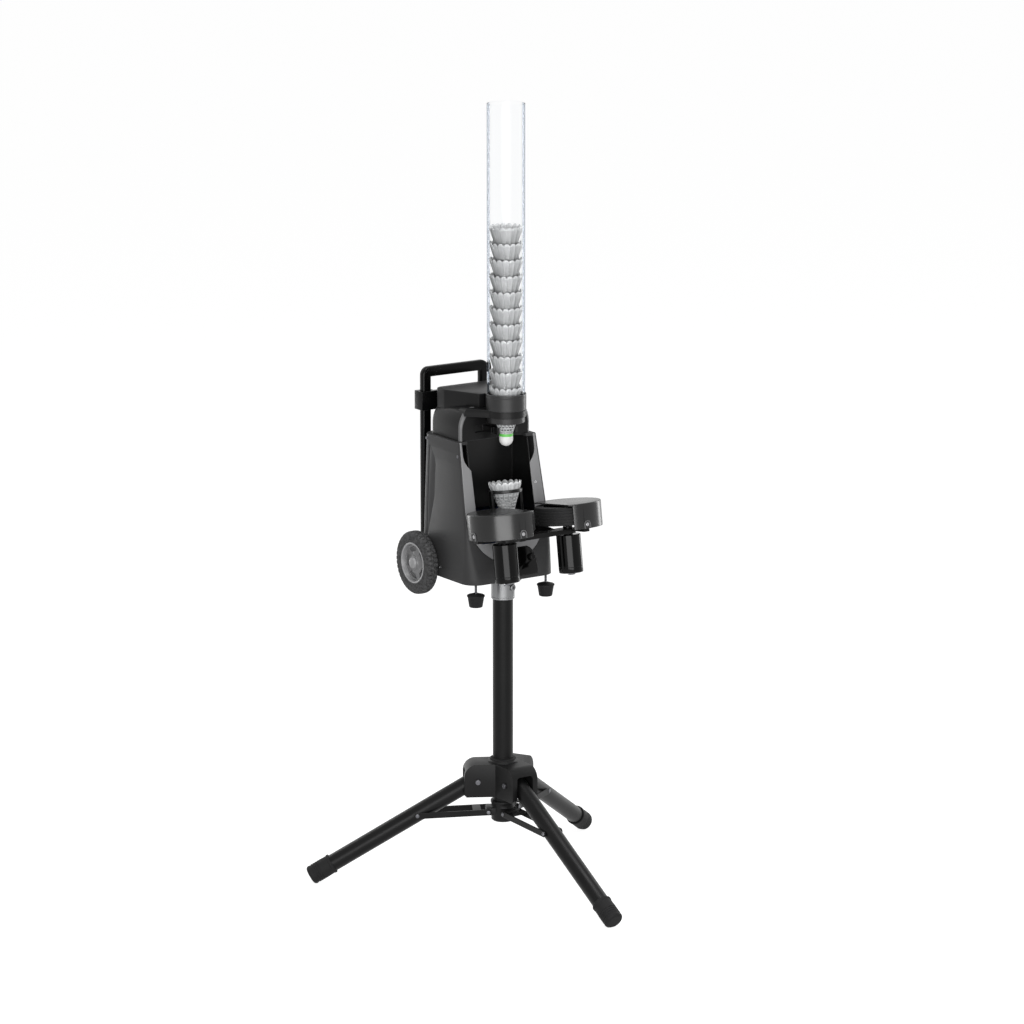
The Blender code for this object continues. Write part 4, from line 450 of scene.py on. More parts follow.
for azimuth in LEG_AZIMUTHS.values():
    out = swung(upright, azimuth)
    lugs.append(slab(lug_side, -LUG_HALF, LUG_HALF, "Y", out))
    opening = rounded(-SLOT_HALF, hub_low.z - 0.02, SLOT_HALF, slot_roof, (0.001, 0.001, 0.006, 0.006), 6)
    turned_out = swung(swung(out, 90.0), 180.0)
    slots.append(slab(opening, HUB_CORE + 0.0003, LUG_REACH + 0.02, "Y", turned_out))
slots.append(rod(pole_radius + 0.0003, hub_low.z - 0.01, hub_high.z + 0.01, upright))
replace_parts(fitted("hub_body", core, nylon, "hub", lugs, slots, 0.0026, 3), "hub")


def socket_screw(name, point, direction, radius, material, body, tall):
    """A round screw head with a hexagon socket, seated on a face."""
    deep = tall * 0.35
    head = [(0.0, -0.0003), (radius, -0.0003), (radius, tall * 0.75), (radius * 0.88, tall), (radius * 0.46, tall),
            (radius * 0.46, deep), (0.0, deep)]
    return turned(name, head, along(point, direction), material, body, 24)


seal = offset(pole_radius, 0.0, [(0.0004, 0.0), (0.0062, 0.0), (0.0058, 0.0015), (0.003, 0.0024), (0.0004, 0.0028)])
rubber = finish("matt black rubber", 0.006, 0.01, 0.6, 0.74, grain=(700.0, 0.00012),
                edge=(0.001, 0.06), shine=0.187)
turned("hub_seal", seal, Matrix.Translation((0.0, pole_y, hub_high.z)), rubber, "hub")
BOLT_HEAD_OUT = 0.0319
BOTH_FACES = ((-1.0, "in"), (1.0, "out"))
for name, azimuth in LEG_AZIMUTHS.items():
    a = math.radians(azimuth)
    side = Vector((-math.sin(a), math.cos(a), 0.0))
    middle = Vector(joints["leg_fold_" + name]["pos_m"])
    for sign, label in BOTH_FACES:
        socket_screw(f"leg_bolt_head_{name}_{label}", middle + side * sign * BOLT_HEAD_OUT, side * sign, 0.0046,
                     zinc, "hub", 0.0014)

# Legs: straight coated tubes on a bolt in the hub, each with a ribbed rubber cap on its foot and a pair of
# flat struts that run to the collar on the pole and are riveted through the tube.
LEG_SLOPE = math.radians(30.5)
LEG_RADIUS = 0.0165
LEG_HEAD = 0.008
FOOT_CIRCLE = 0.372
BOLT_CIRCLE = 0.05
LEG_REACH = (FOOT_CIRCLE - BOLT_CIRCLE) / math.cos(LEG_SLOPE)
CAP_LENGTH = 0.05
CAP_RADIUS = 0.0188
CAP_ROUND = 0.006
CAP_RIBS = 4
FIRST_RIB = 0.022
RIB_PITCH = 0.0046
STRUT_SPAN = 0.137
STRUT_END_ROUND = 0.006
RIVET_OUT = 0.0205
RIVET = [(0.0, -0.0005), (0.004, -0.0005), (0.004, 0.0004), (0.003, 0.0014), (0.0, 0.0018)]
carry_over(powder_coat, "strut_front", "strut_left", "strut_right")
for name, azimuth in LEG_AZIMUTHS.items():
    a = math.radians(azimuth)
    outward = polar(1.0, a)
    down_leg = outward * math.cos(LEG_SLOPE) + Vector((0.0, 0.0, -math.sin(LEG_SLOPE)))
    across = Vector((-math.sin(a), math.cos(a), 0.0))
    axis = along(joints["leg_fold_" + name]["pos_m"], down_leg)
    body = "leg_" + name
    end = LEG_REACH - 0.011
    tube = [(LEG_RADIUS - 0.0015, -LEG_HEAD), (LEG_RADIUS - 0.0003, -LEG_HEAD), (LEG_RADIUS, 0.0003 - LEG_HEAD),
            (LEG_RADIUS, end), (LEG_RADIUS - 0.0015, end)]
    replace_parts(turned(f"leg_tube_{name}", tube, axis, powder_coat, body, 72), "leg_" + name)
    start = LEG_REACH - CAP_LENGTH
    cap = [(0.0, end + 0.0004), (LEG_RADIUS + 0.0002, end + 0.0004), (LEG_RADIUS + 0.0002, start)]
    cap += offset(CAP_RADIUS, start, [(-0.0004, 0.0), (0.0006, 0.001), (0.0006, 0.0042), (-0.0005, 0.0056)])
    for i in range(CAP_RIBS):
        rib = start + FIRST_RIB + RIB_PITCH * i
        cap += offset(CAP_RADIUS, rib, [(0.0, 0.0), (0.0, 0.0028), (-0.001, 0.0032), (-0.001, 0.0042)])
    cap += [(CAP_RADIUS, LEG_REACH - CAP_ROUND)]
    cap += [(CAP_RADIUS - CAP_ROUND + CAP_ROUND * math.cos(t), LEG_REACH - CAP_ROUND + CAP_ROUND * math.sin(t))
            for t in quarter(6)[1:]] + [(0.0, LEG_REACH)]
    ground = brick((-1.0, -1.0, -0.1), (1.0, 1.0, 0.0))
    piece = fitted(f"leg_foot_{name}", revolve(cap, axis, 72), rubber, body, (), [ground])
    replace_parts(piece, "leg_cap_" + name)
    low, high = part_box("strut_" + name)
    pin = Vector(joints["strut_fold_" + name]["pos_m"])
    rise = low.z + STRUT_END_ROUND - pin.z
    far = pin + outward * math.sqrt(max(STRUT_SPAN ** 2 - rise ** 2, 0.0)) + Vector((0.0, 0.0, rise))
    for sign, label in BOTH_FACES:
        for spot, at in (("pin", pin), ("rivet", far)):
            face = at + across * sign * RIVET_OUT
            turned(f"strut_{spot}_{name}_{label}", RIVET, along(face, across * sign), zinc, "strut_" + name, 24)

# Pole socket: a turned aluminium sleeve under the housing, clamped on the pole by a steel socket screw in a
# round boss.
aluminium = finish("turned aluminium", (0.17, 0.172, 0.175), (0.22, 0.222, 0.226), 0.28, 0.4, metal=1.0,
                   grain=(1500.0, 0.00003), edge=(0.0005, 0.4), edge_tint_of_wear_and_highlight=(0.8, 0.8, 0.81))
steel = finish("bright steel", (0.36, 0.36, 0.37), (0.46, 0.46, 0.47), 0.22, 0.34, metal=1.0,
               grain=(1500.0, 0.00002), edge=(0.0004, 0.4), edge_tint_of_wear_and_highlight=(0.8, 0.8, 0.8))
socket_low, socket_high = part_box("pole_socket")
CLAMP_AZIMUTH = 285.0
SLEEVE_WALL = 0.003
FLANGE_RADIUS = 0.0359
sleeve_radius = pole_radius + SLEEVE_WALL
clamp_out = polar(1.0, math.radians(CLAMP_AZIMUTH))
clamp_level = socket_low.z + 0.024
flange_low = socket_high.z - 0.0047
profile = [(pole_radius + 0.0003, socket_low.z)]
profile += offset(sleeve_radius, socket_low.z, [(-0.0008, 0.0), (0.0, 0.0008), (0.0, 0.004), (-0.0005, 0.0044),
                                                (-0.0005, 0.0052), (0.0, 0.0056)])
profile += [(sleeve_radius, flange_low), (FLANGE_RADIUS - 0.0005, flange_low), (FLANGE_RADIUS, flange_low + 0.0005),
            (FLANGE_RADIUS, socket_high.z - 0.0003), (pole_radius + 0.0003, socket_high.z - 0.0003)]
boss_at = along(Vector((0.0, pole_y, clamp_level)), clamp_out)
boss = revolve([(0.0, pole_radius + 0.002), (0.0065, pole_radius + 0.002), (0.0065, sleeve_radius + 0.004),
                (0.006, sleeve_radius + 0.0045), (0.0, sleeve_radius + 0.0045)], boss_at, 48)
hole = rod(0.0034, 0.0, 0.05, boss_at, 32)
sleeve = fitted("pole_sleeve", revolve(profile, upright, 96), aluminium, "machine", [boss], [hole])
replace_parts(sleeve, "pole_socket")
key = offset(0.0, sleeve_radius, [(0.0, 0.0012), (0.0015, 0.0012), (0.0015, 0.0036), (0.0028, 0.0036),
                                  (0.003, 0.0032), (0.003, -0.0026), (0.0, -0.0026)])
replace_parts(turned("sleeve_screw", key, boss_at, zinc, "machine", 36), "clamp_screw")
for i, azimuth in enumerate((214.0, 246.0)):
    out = polar(1.0, math.radians(azimuth))
    at = Vector((0.0, pole_y, socket_low.z + 0.03)) + out * sleeve_radius
    socket_screw(f"sleeve_pin_{i}", at, out, 0.002, zinc, "machine", 0.0006)

# Housing: a moulded shell that narrows and leans back towards the top, grained dark grey, with a shallow field
# on each side. A lighter satin panel fills its U-shaped mouth, and a base plate closes it underneath.
grained = finish("dark grey grained plastic", 0.029, 0.037, 0.44, 0.54,
                 grain=(750.0, 0.00008), edge=(0.0012, 0.18), edge_tint_of_wear_and_highlight=(0.15, 0.15, 0.155), shine=0.166)
# Its edges turn strongly towards pale grey: a painted highlight line round the U of the mouth.
band = finish("satin grey panel plastic", 0.2, 0.22, 0.34, 0.44,
              grain=(1100.0, 0.00003), edge=(0.0018, 0.7), edge_tint_of_wear_and_highlight=(0.42, 0.42, 0.425), shine=0.26)
pit_black = finish("black inner moulding", 0.003, 0.005, 0.26, 0.38,
                   grain=(500.0, 0.00005), edge=(0.0012, 0.05), shine=0.26)
shell_low, shell_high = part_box("side_shell")
BOTH_SIDES = ((-1.0, "left"), (1.0, "right"))
BASE_HALF = 0.0995
TOP_HALF = 0.0885
BASE_FRONT = -0.038
TOP_FRONT = 0.017
SHELL_BACK = 0.145
SHELL_WALL = 0.003
DECK = 0.005
BASE_ROUND = 0.03
TOP_ROUND = 0.004
BACK_ROUND = 0.026
ROUND_RISE = 0.135
MOUTH_SIDE = 0.0025
MOUTH_RISE = 0.135
MOUTH_SILL = 0.033
shell_height = shell_high.z - shell_low.z


def share_of(z):
    return (z - shell_low.z) / shell_height


def front_line(z):
    """The housing's front face leans back with height."""
    return pole_y + BASE_FRONT + (TOP_FRONT - BASE_FRONT) * share_of(z)


def half_width(z):
    return BASE_HALF + (TOP_HALF - BASE_HALF) * share_of(z)


def body_ring(z, inset=0.0, level=None):
    """The housing's outline at one level, drawn in by a wall."""
    at = z if level is None else level
    wide = half_width(at) - inset
    turn = min(1.0, (at - shell_low.z) / ROUND_RISE) * math.pi / 2
    corner = max(BASE_ROUND + (TOP_ROUND - BASE_ROUND) * math.sin(turn) - inset, 0.001)
    back = BACK_ROUND - inset
    outline = rounded(-wide, front_line(at) + inset, wide, pole_y + SHELL_BACK - inset,
                      (corner, corner, back, back), 10)
    return [(x, y, z) for x, y in outline]


def mouth(inset, over=0.0):
    """The U-shaped mouth in the front view."""
    turn = shell_low.z + MOUTH_RISE
    side = half_width(turn) - MOUTH_SIDE - inset
    top = half_width(shell_high.z) - MOUTH_SIDE - inset
    drop = MOUTH_RISE - MOUTH_SILL - inset
    curve = [(side * math.cos(a), turn - drop * math.sin(a)) for a in [math.pi * i / 40 for i in range(41)]]
    return [(top, shell_high.z + over)] + curve + [(-top, shell_high.z + over)]


def leaning(outline, front, back):
    """A sheet that leans with the housing's front face, between two distances behind it."""
    return skinned([[(x, front_line(z) + behind, z) for x, z in outline] for behind in (front, back)])


def beside(outline, side, inner, outer):
    """A sheet that follows one side of the housing, between two distances from its face."""
    return skinned([[(side * (half_width(z) + out), y, z) for y, z in outline] for out in (inner, outer)])


levels = [shell_low.z + shell_height * i / 24 for i in range(25)]
cavity_levels = levels[:-1] + [shell_high.z - DECK]
cavity = [body_ring(shell_low.z - 0.01, SHELL_WALL, shell_low.z)]
cavity += [body_ring(z, SHELL_WALL) for z in cavity_levels]
cuts = [skinned(cavity)]
cuts.append(leaning(mouth(0.0, 0.01), -0.03, 0.0036))
NOTCH_HALF = 0.0672
NOTCH_BACK = 0.043
notch = rounded(-NOTCH_HALF, pole_y - 0.05, NOTCH_HALF, pole_y + NOTCH_BACK, (0.002, 0.002, 0.01, 0.01))
cuts.append(slab(notch, shell_high.z - 0.009, shell_high.z + 0.01))
FIELD = ((0.031, 0.072), (0.036, 0.09), (0.049, 0.14), (0.051, 0.152), (0.051, 0.214),
         (0.048, 0.226), (0.031, 0.246), (0.027, 0.246), (0.027, 0.072))
FIELD_DEPTH = 0.0016
for side in (-1.0, 1.0):
    field = [(pole_y + SHELL_BACK - ahead, shell_low.z + rise) for ahead, rise in FIELD]
    cuts.append(beside(field, side, -FIELD_DEPTH, 0.02))
BOX_LEFT = 0.004
BOX_RIGHT = 0.056
BOX_RISE = 0.007
BOX_TALL = 0.053
box_low = shell_low.z + BOX_RISE
box_top = box_low + BOX_TALL


def box_outline(gap):
    """The control box in the front view, with its knocked-off corner."""
    right = BOX_RIGHT - gap
    return [(BOX_LEFT + gap, box_low + gap), (right, box_low + gap), (right, box_top - 0.022),
            (right - 0.01, box_top - 0.004 - gap), (right - 0.018, box_top - gap), (BOX_LEFT + gap, box_top - gap)]


def box_hole():
    return leaning(box_outline(0.0), -0.03, 0.01)


cuts.append(box_hole())
axle_low, axle_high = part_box("wheel_axle")
axle_at = along((axle_low + axle_high) / 2, (1.0, 0.0, 0.0))
cuts.append(rod(0.0053, -0.2, 0.2, axle_at, 32))
shell = fitted("housing_shell", skinned([body_ring(z) for z in levels]), grained, "machine", (), cuts, 0.0009)
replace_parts(shell, "side_shell")
carry_over(pit_black, "base_plate", "shuttle_tray")
field_grey = finish("dark grey field plastic", 0.04, 0.05, 0.44, 0.54, grain=(600.0, 0.00012),
                    edge=(0.001, 0.5), edge_tint_of_wear_and_highlight=(0.13, 0.13, 0.135), shine=0.166)
FIELD_GAP = 0.001
FIELD_SUNK = 0.0005
ahead_mid = (FIELD[0][0] + FIELD[3][0]) / 2
rise_mid = (FIELD[0][1] + FIELD[6][1]) / 2
ahead_fit = 1.0 - FIELD_GAP / (FIELD[3][0] - ahead_mid)
rise_fit = 1.0 - FIELD_GAP / (FIELD[6][1] - rise_mid)
for side, label in BOTH_SIDES:
    field = [(pole_y + SHELL_BACK - ahead_mid - (ahead - ahead_mid) * ahead_fit,
              shell_low.z + rise_mid + (rise - rise_mid) * rise_fit) for ahead, rise in FIELD]
    inlay = beside(field, side, -FIELD_DEPTH - 0.0002, -FIELD_SUNK)
    fitted("side_field_" + label, inlay, field_grey, "machine", edge=0.0005)

panel_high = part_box("front_panel")[1]
outline = [(x, min(z, panel_high.z)) for x, z in mouth(0.0004)]
PANEL_FRONT = 0.0007
PANEL_BACK = 0.0033
panel = leaning(outline, PANEL_FRONT, PANEL_BACK)
THROAT_FOOT = 0.674
THROAT_HALF = 0.0669
THROAT_TOP_HALF = 0.0815
THROAT_ROUND = 0.01
FLARE_ROUND = 0.034
FLARE_DROP = 0.054
flare = shell_high.z - FLARE_DROP
right = bow(THROAT_HALF - THROAT_ROUND, THROAT_FOOT + THROAT_ROUND, THROAT_ROUND, -90.0, 0.0, 8)
right += [(THROAT_HALF, flare)]
right += bow(THROAT_TOP_HALF - FLARE_ROUND, flare + FLARE_ROUND * 0.88, FLARE_ROUND, -38.0, 0.0, 12)
right += [(THROAT_TOP_HALF, shell_high.z + 0.02)]
left = [(-x, z) for x, z in reversed(right)]
throat = slab(right + left, pole_y - 0.1, pole_y + 0.1, "Y")
panel = fitted("mouth_panel", panel, band, "machine", (), [throat, box_hole()], 0.0007)
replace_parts(panel, "front_panel")
SIDE_SCREWS = ((0.078, 0.018, steel), (0.126, 0.24, zinc), (0.018, 0.258, zinc))
for sign, label in BOTH_SIDES:
    for i, (ahead, rise, metal) in enumerate(SIDE_SCREWS):
        level = shell_low.z + rise
        at = Vector((sign * half_width(level), pole_y + SHELL_BACK - ahead, level))
        socket_screw(f"side_screw_{label}_{i}", at, (sign, 0.0, 0.04), 0.003, metal, "machine", 0.0007)
SLANT = math.atan2(TOP_FRONT - BASE_FRONT, shell_height)
panel_out = Vector((0.0, -math.cos(SLANT), math.sin(SLANT)))
for i, (x, z) in enumerate(((0.0745, 0.775), (0.0745, 0.7))):
    at = Vector((x, front_line(z) + PANEL_FRONT, z))
    socket_screw(f"panel_screw_{i}", at, panel_out, 0.0026, steel, "machine", 0.0008)

# Rear cover: a thin grained hatch on the back of the housing, held by four screws, with a row of vent slots
# and a rubber plug over the charging socket.
HATCH_HALF = 0.05
HATCH_LOW = 0.642
HATCH_HIGH = 0.806
HATCH_PROUD = 0.0016
HATCH_SCREW_X = 0.043
VENTS = 7
VENT_LOW = 0.7
VENT_PITCH = 0.009
VENT_HALF = 0.03
VENT_HALF_TALL = 0.0018
PLUG_SPOT = (0.03, 0.672)
back_face = pole_y + SHELL_BACK
hatch = slab(rounded(-HATCH_HALF, HATCH_LOW, HATCH_HALF, HATCH_HIGH, 0.008), back_face - 0.001,
             back_face + HATCH_PROUD, "Y")
vents = []
for i in range(VENTS):
    level = VENT_LOW + VENT_PITCH * i
    slot = rounded(-VENT_HALF, level - VENT_HALF_TALL, VENT_HALF, level + VENT_HALF_TALL, 0.0017, 4)
    vents.append(slab(slot, back_face + 0.0002, back_face + 0.01, "Y"))
fitted("rear_hatch", hatch, grained, "machine", (), vents, 0.0006)
for sign, label in BOTH_SIDES:
    for z, height in ((0.649, "low"), (0.799, "high")):
        at = (sign * HATCH_SCREW_X, back_face + HATCH_PROUD, z)
        socket_screw(f"hatch_screw_{label}_{height}", at, (0.0, 1.0, 0.0), 0.003, zinc, "machine", 0.0012)
plug = [(0.0, 0.0), (0.0085, 0.0), (0.0085, 0.0018), (0.0075, 0.0028), (0.004, 0.003), (0.0, 0.003)]
plug_at = along((PLUG_SPOT[0], back_face + 0.0014, PLUG_SPOT[1]), (0.0, 1.0, 0.0))
turned("charging_plug", plug, plug_at, rubber, "machine", 48)

# Control box: a gloss black moulding across the edge of the mouth, with one corner knocked off. The tilt knob
# turns in a bore in its face.
gloss_black = finish("gloss black plastic", 0.001, 0.0018, 0.08, 0.16,
                     grain=(300.0, 0.00001), edge=(0.0008, 0.05), shine=0.182)
BOX_PROUD = 0.002
BOX_DEEP = 0.008
control = leaning(box_outline(0.0004), -BOX_PROUD, BOX_DEEP)
knob_out = Vector(joints["knob_turn"]["axis"])
if knob_out.y > 0.0:
    knob_out = -knob_out
KNOB_RISE = 0.032
KNOB_IN = 0.012
KNOB_RADIUS = 0.006
knob_z = box_low + KNOB_RISE
knob_face = Vector((BOX_RIGHT - KNOB_IN, front_line(knob_z) - BOX_PROUD, knob_z))
knob_at = along(knob_face, knob_out)
bore = rod(0.0036, -0.007, 0.02, knob_at, 32)
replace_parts(fitted("control_cover", control, gloss_black, "machine", (), [bore], 0.0012, 3), "control_box")
knob = [(0.0, -0.0055), (0.0028, -0.0055), (0.0028, 0.0005), (0.0058, 0.0005), (KNOB_RADIUS, 0.001)]
knob += [(KNOB_RADIUS - 0.0003 * (i % 2), 0.001 + 0.0008 * i) for i in range(1, 6)]
knob += [(0.0057, 0.0062), (0.0048, 0.0069), (0.0, 0.0069)]
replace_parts(turned("knob_cap", knob, knob_at, nylon, "knob", 40), "tilt_knob")

# Feeder: a moulded base hidden under an arched hood with a grey lip, a rear case behind it, a cup for the tube,
# and two jaws in the hood's window that let one shuttlecock fall at a time. The grey lip along the hood's rounded
# top front edge is a painted highlight.
hood_black = finish("black satin hood plastic", 0.005, 0.007, 0.3, 0.38,
                    grain=(800.0, 0.00005), edge=(0.001, 0.1), shine=0.16)
carry_over(nylon, "feeder_base")
carry_over(pit_black, "release_jaw_left", "release_jaw_right")
tube_low, tube_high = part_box("magazine_tube")
tube_y = (tube_low.y + tube_high.y) / 2
tube_radius = (tube_high.x - tube_low.x) / 2
lid_low, lid_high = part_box("feeder_lid")
lid_half = (lid_high.x - lid_low.x) / 2
SHOULDER = (0.03, 0.04)
HOOD_ROUND = 0.0065
HOOD_FRONT = 0.026
HOOD_WALL = 0.0025
NOSE_UNDER = 0.914
NOSE_BAND = 0.004
LID_UNDER = 0.893
CUP_RADIUS = 0.0383
NECK_RADIUS = 0.0355
hood_front = pole_y + HOOD_FRONT
hood_back = lid_high.y


def arch(y, inset):
    """The hood's arched outline at one depth, drawn in towards its front and back."""
    wide = lid_half - inset
    top = lid_high.z - inset
    inner = wide - SHOULDER[0]
    curve = [(inner + SHOULDER[0] * math.sin(a), top - SHOULDER[1] + SHOULDER[1] * math.cos(a))
             for a in quarter(14)]
    half = curve + [(wide, lid_low.z)]
    return [(x, y, z) for x, z in half] + [(-x, y, z) for x, z in reversed(half)]


BACK_EDGE = 0.01
rings = [arch(hood_front + HOOD_ROUND * (1.0 - math.cos(a)), HOOD_ROUND * (1.0 - math.sin(a))) for a in quarter(6)]
rings += [arch(hood_back - BACK_EDGE * (1.0 - math.sin(a)), BACK_EDGE * (1.0 - math.cos(a))) for a in quarter(6)]
hood = skinned(rings)
NOSE_HALF = 0.07
nose_rings = []
rise = lid_high.z - NOSE_UNDER - 0.0005
for i in range(-1, 9):
    a = math.pi / 2 * max(i, 0) / 8
    inset = HOOD_ROUND * (1.0 - math.cos(a))
    level = NOSE_UNDER if i < 0 else NOSE_UNDER + NOSE_BAND + (rise - NOSE_BAND) * math.sin(a)
    far = hood_front + 0.02
    wide = NOSE_HALF - inset * 1.5
    points = [(-wide, far), (-wide, hood_front)] + bow(0.0, tube_y, CUP_RADIUS - 0.0002, 180.0, 360.0, 32)
    points += [(wide, hood_front), (wide, far)]
    nose_rings.append([(x, y, level) for x, y in points])
nose = skinned(nose_rings)
side = lid_half - HOOD_WALL
hollow = slab(rounded(-side, hood_front + HOOD_WALL, side, hood_back - HOOD_WALL, (0.006, 0.006, 0.015, 0.015)),
              lid_low.z - 0.01, LID_UNDER)
jaw_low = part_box("release_jaw_left")[0]
WINDOW_HALF = 0.0451
window = brick((-WINDOW_HALF, hood_front - 0.01, jaw_low.z - 0.0015), (WINDOW_HALF, hood_front + 0.0035, LID_UNDER))
around_tube = Matrix.Translation((0.0, tube_y, 0.0))
neck_hole = rod(NECK_RADIUS + 0.0003, lid_low.z - 0.01, lid_high.z + 0.01, around_tube)
cup_foot = tube_low.z - 0.006
cup_hole = rod(CUP_RADIUS + 0.0003, cup_foot - 0.0003, lid_high.z + 0.02, around_tube)
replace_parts(fitted("feeder_hood", hood, hood_black, "machine", [nose], [hollow, window, neck_hole, cup_hole], 0.0006),
            "feeder_lid")

# A thin lighter grey strip just proud of the hood's rounded top front edge: a painted highlight.
LIP_PROUD = 0.0005
LIP_DEEP = 0.0012
hood_highlight_grey = finish("satin grey painted highlight on hood edge", 0.105, 0.13, 0.3, 0.38, edge=(0.0008, 0.2),
                  edge_tint_of_wear_and_highlight=(0.25, 0.25, 0.255), shine=0.3)
LIP_TURNS = [math.radians(12.0 + 11.0 * i) for i in range(7)]
loops = []
for reach, turns in ((HOOD_ROUND + LIP_PROUD, LIP_TURNS), (HOOD_ROUND - LIP_DEEP, LIP_TURNS[::-1])):
    loops += [arch(hood_front + HOOD_ROUND - reach * math.cos(a), HOOD_ROUND - reach * math.sin(a)) for a in turns]
half_count = len(loops[0]) // 2
way = list(range(half_count, 2 * half_count)) + list(range(half_count))
lip = skinned([[loop[k] for loop in loops] for k in way])
lip_gap = rod(CUP_RADIUS + 0.0005, lid_low.z - 0.02, lid_high.z + 0.02, around_tube)
fitted("hood_highlight_strip", lip, hood_highlight_grey, "machine", (), [lip_gap], 0.0003, 1)

case_low, case_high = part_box("rear_case")
case_half = (case_high.x - case_low.x) / 2
CASE_EDGE = 0.003
CASE_FRONT = 0.085
NOSE_BEHIND = 0.03
rings = []
for i in range(-1, 6):
    a = math.pi / 2 * max(i, 0) / 5
    inset = CASE_EDGE * (1.0 - math.cos(a))
    level = case_low.z if i < 0 else case_high.z - CASE_EDGE * (1.0 - math.sin(a))
    points = rounded(-case_half + inset, pole_y + CASE_FRONT, case_half - inset, case_high.y - inset, 0.01, 8)
    points += bow(0.0, tube_y + NOSE_BEHIND, CUP_RADIUS + 0.003 - inset, 0.0, 180.0, 24)
    points = [Vector(p) for p in points]
    rings.append([(points[j].x, points[j].y, level) for j in convex_hull_2d(points)])
cup_clear = rod(CUP_RADIUS + 0.001, case_low.z - 0.01, case_high.z + 0.01, around_tube)
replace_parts(fitted("rear_cover", skinned(rings), hood_black, "machine", (), [cup_clear], 0.0006), "rear_case")

cup_in = tube_radius + 0.0003
neck_low = tube_low.z - 0.03
cup = offset(NECK_RADIUS, neck_low, [(-0.002, 0.0006), (-0.0014, 0.0), (-0.0006, 0.0), (0.0, 0.0006)])
cup += [(NECK_RADIUS, cup_foot), (CUP_RADIUS - 0.0006, cup_foot), (CUP_RADIUS, cup_foot + 0.0006)]
cup += offset(CUP_RADIUS, tube_low.z, [(0.0, 0.019), (-0.0005, 0.0194), (-0.0005, 0.0202), (0.0, 0.0206),
                                       (0.0, 0.024), (-0.0008, 0.025)])
cup += offset(0.0, tube_low.z, [(cup_in, 0.025), (cup_in, -0.0003), (NECK_RADIUS - 0.002, -0.0003)])
socket_black = finish("black satin cup plastic", 0.017, 0.021, 0.32, 0.4, edge=(0.001, 0.15),
                      shine=0.27)
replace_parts(turned("tube_cup", cup, around_tube, socket_black, "machine", 96), "tube_socket")

# Magazine tube: clear extruded acrylic with polished ends, dark and bluish where the wall is seen on end. It
# lets shadow and diffuse rays straight through.
TUBE_WALL = 0.0018
acrylic = bpy.data.materials.new("clear acrylic")
acrylic.use_nodes = True
tree = acrylic.node_tree
slope = add_node(tree, "LayerWeight", {"Blend": 0.5})
ends = add_node(tree, "MapRange", {"From Min": 0.44, "From Max": 0.62, "Value": slope.outputs["Facing"]})
glassy = add_node(tree, "Mix", {"A": (0.985, 0.99, 0.993, 1.0), "B": (0.33, 0.38, 0.45, 1.0),
                                "Factor": ends.outputs[0]}, data_type="RGBA")
smudge = add_node(tree, "TexNoise", {"Scale": 18.0})
level = add_node(tree, "MapRange", {"To Min": 0.01, "To Max": 0.04, "Value": smudge.outputs["Fac"]})
shader = tree.nodes["Principled BSDF"]
feed(tree, shader, {"Transmission Weight": 1.0, "IOR": 1.12, "Base Color": glassy.outputs["Result"],
                    "Roughness": level.outputs[0]})
rays = add_node(tree, "LightPath").outputs
unseen = add_node(tree, "Math", {0: rays["Is Shadow Ray"], 1: rays["Is Diffuse Ray"]}, operation="MAXIMUM")
clear = add_node(tree, "BsdfTransparent")
passing = add_node(tree, "MixShader", {"Fac": unseen.outputs[0], 1: shader.outputs[0], 2: clear.outputs[0]})
feed(tree, tree.nodes["Material Output"], {"Surface": passing.outputs[0]})
wall = pipe(tube_radius - TUBE_WALL, tube_radius, tube_low.z, tube_high.z, 0.0003, 0.0004)
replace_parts(turned("clear_tube", wall, around_tube, acrylic, "machine", 96), "magazine_tube")

# Shuttlecocks: sixteen white vanes on a flared lattice skirt, a green band and a white cork. Twelve nest in
# the tube and one stands in the cradle.
RIM_RADIUS = 0.033
SHUTTLE_HEIGHT = 0.085
CORK_RADIUS = 0.0132
CORK_HEIGHT = 0.024
STACK_PITCH = 0.0305
STACK_COUNT = 12
VANES = 16
VANE_FOOT = 0.04
BAND_LOW = 0.0195
BAND_HIGH = 0.0245
feather = finish("white vane plastic", (0.58, 0.588, 0.592), (0.49, 0.498, 0.505), 0.42, 0.55, grain=(600.0, 0.00005),
                 edge=(0.0002, 0.0), cloud=60.0)
tree = feather.node_tree
# The vanes' shade attribute multiplies the colour: painted shade at each vane's root and along its edges, and a darker
# line down its middle.
painted_shade_attribute = add_node(tree, "Attribute", attribute_name="vane_painted_shade")
skin = next(node for node in tree.nodes if node.type == "GROUP")
painted_shade_mix = add_node(tree, "Mix", {"Factor": 1.0, "A": skin.outputs["Colour"], "B": painted_shade_attribute.outputs["Color"]},
                  data_type="RGBA", blend_type="MULTIPLY")
feed(tree, tree.nodes["Principled BSDF"], {"Base Color": painted_shade_mix.outputs["Result"]})
cork_white = finish("white cork cover", (0.84, 0.84, 0.83), (0.78, 0.78, 0.77), 0.45, 0.6, grain=(800.0, 0.00004),
                    edge=(0.0003, 0.0))
green_tape = finish("green tape", (0.12, 0.55, 0.08), (0.15, 0.62, 0.11), 0.35, 0.45, grain=(800.0, 0.00003),
                    edge=(0.0003, 0.0))


def skirt_radius(height):
    """Radius of the skirt at a height above the cork's lowest point."""
    return CORK_RADIUS + (RIM_RADIUS - CORK_RADIUS) * (height - CORK_HEIGHT) / (SHUTTLE_HEIGHT - CORK_HEIGHT)


def feathered(name, mesh, body, thickness):
    """Places vanes or a skirt and gives the thin sheet its thickness."""
    piece = place_mesh(name, mesh, feather, body, 60.0)
    shell = piece.modifiers.new("thickness", "SOLIDIFY")
    shell.thickness = thickness
    shell.offset = 0.0
    return piece


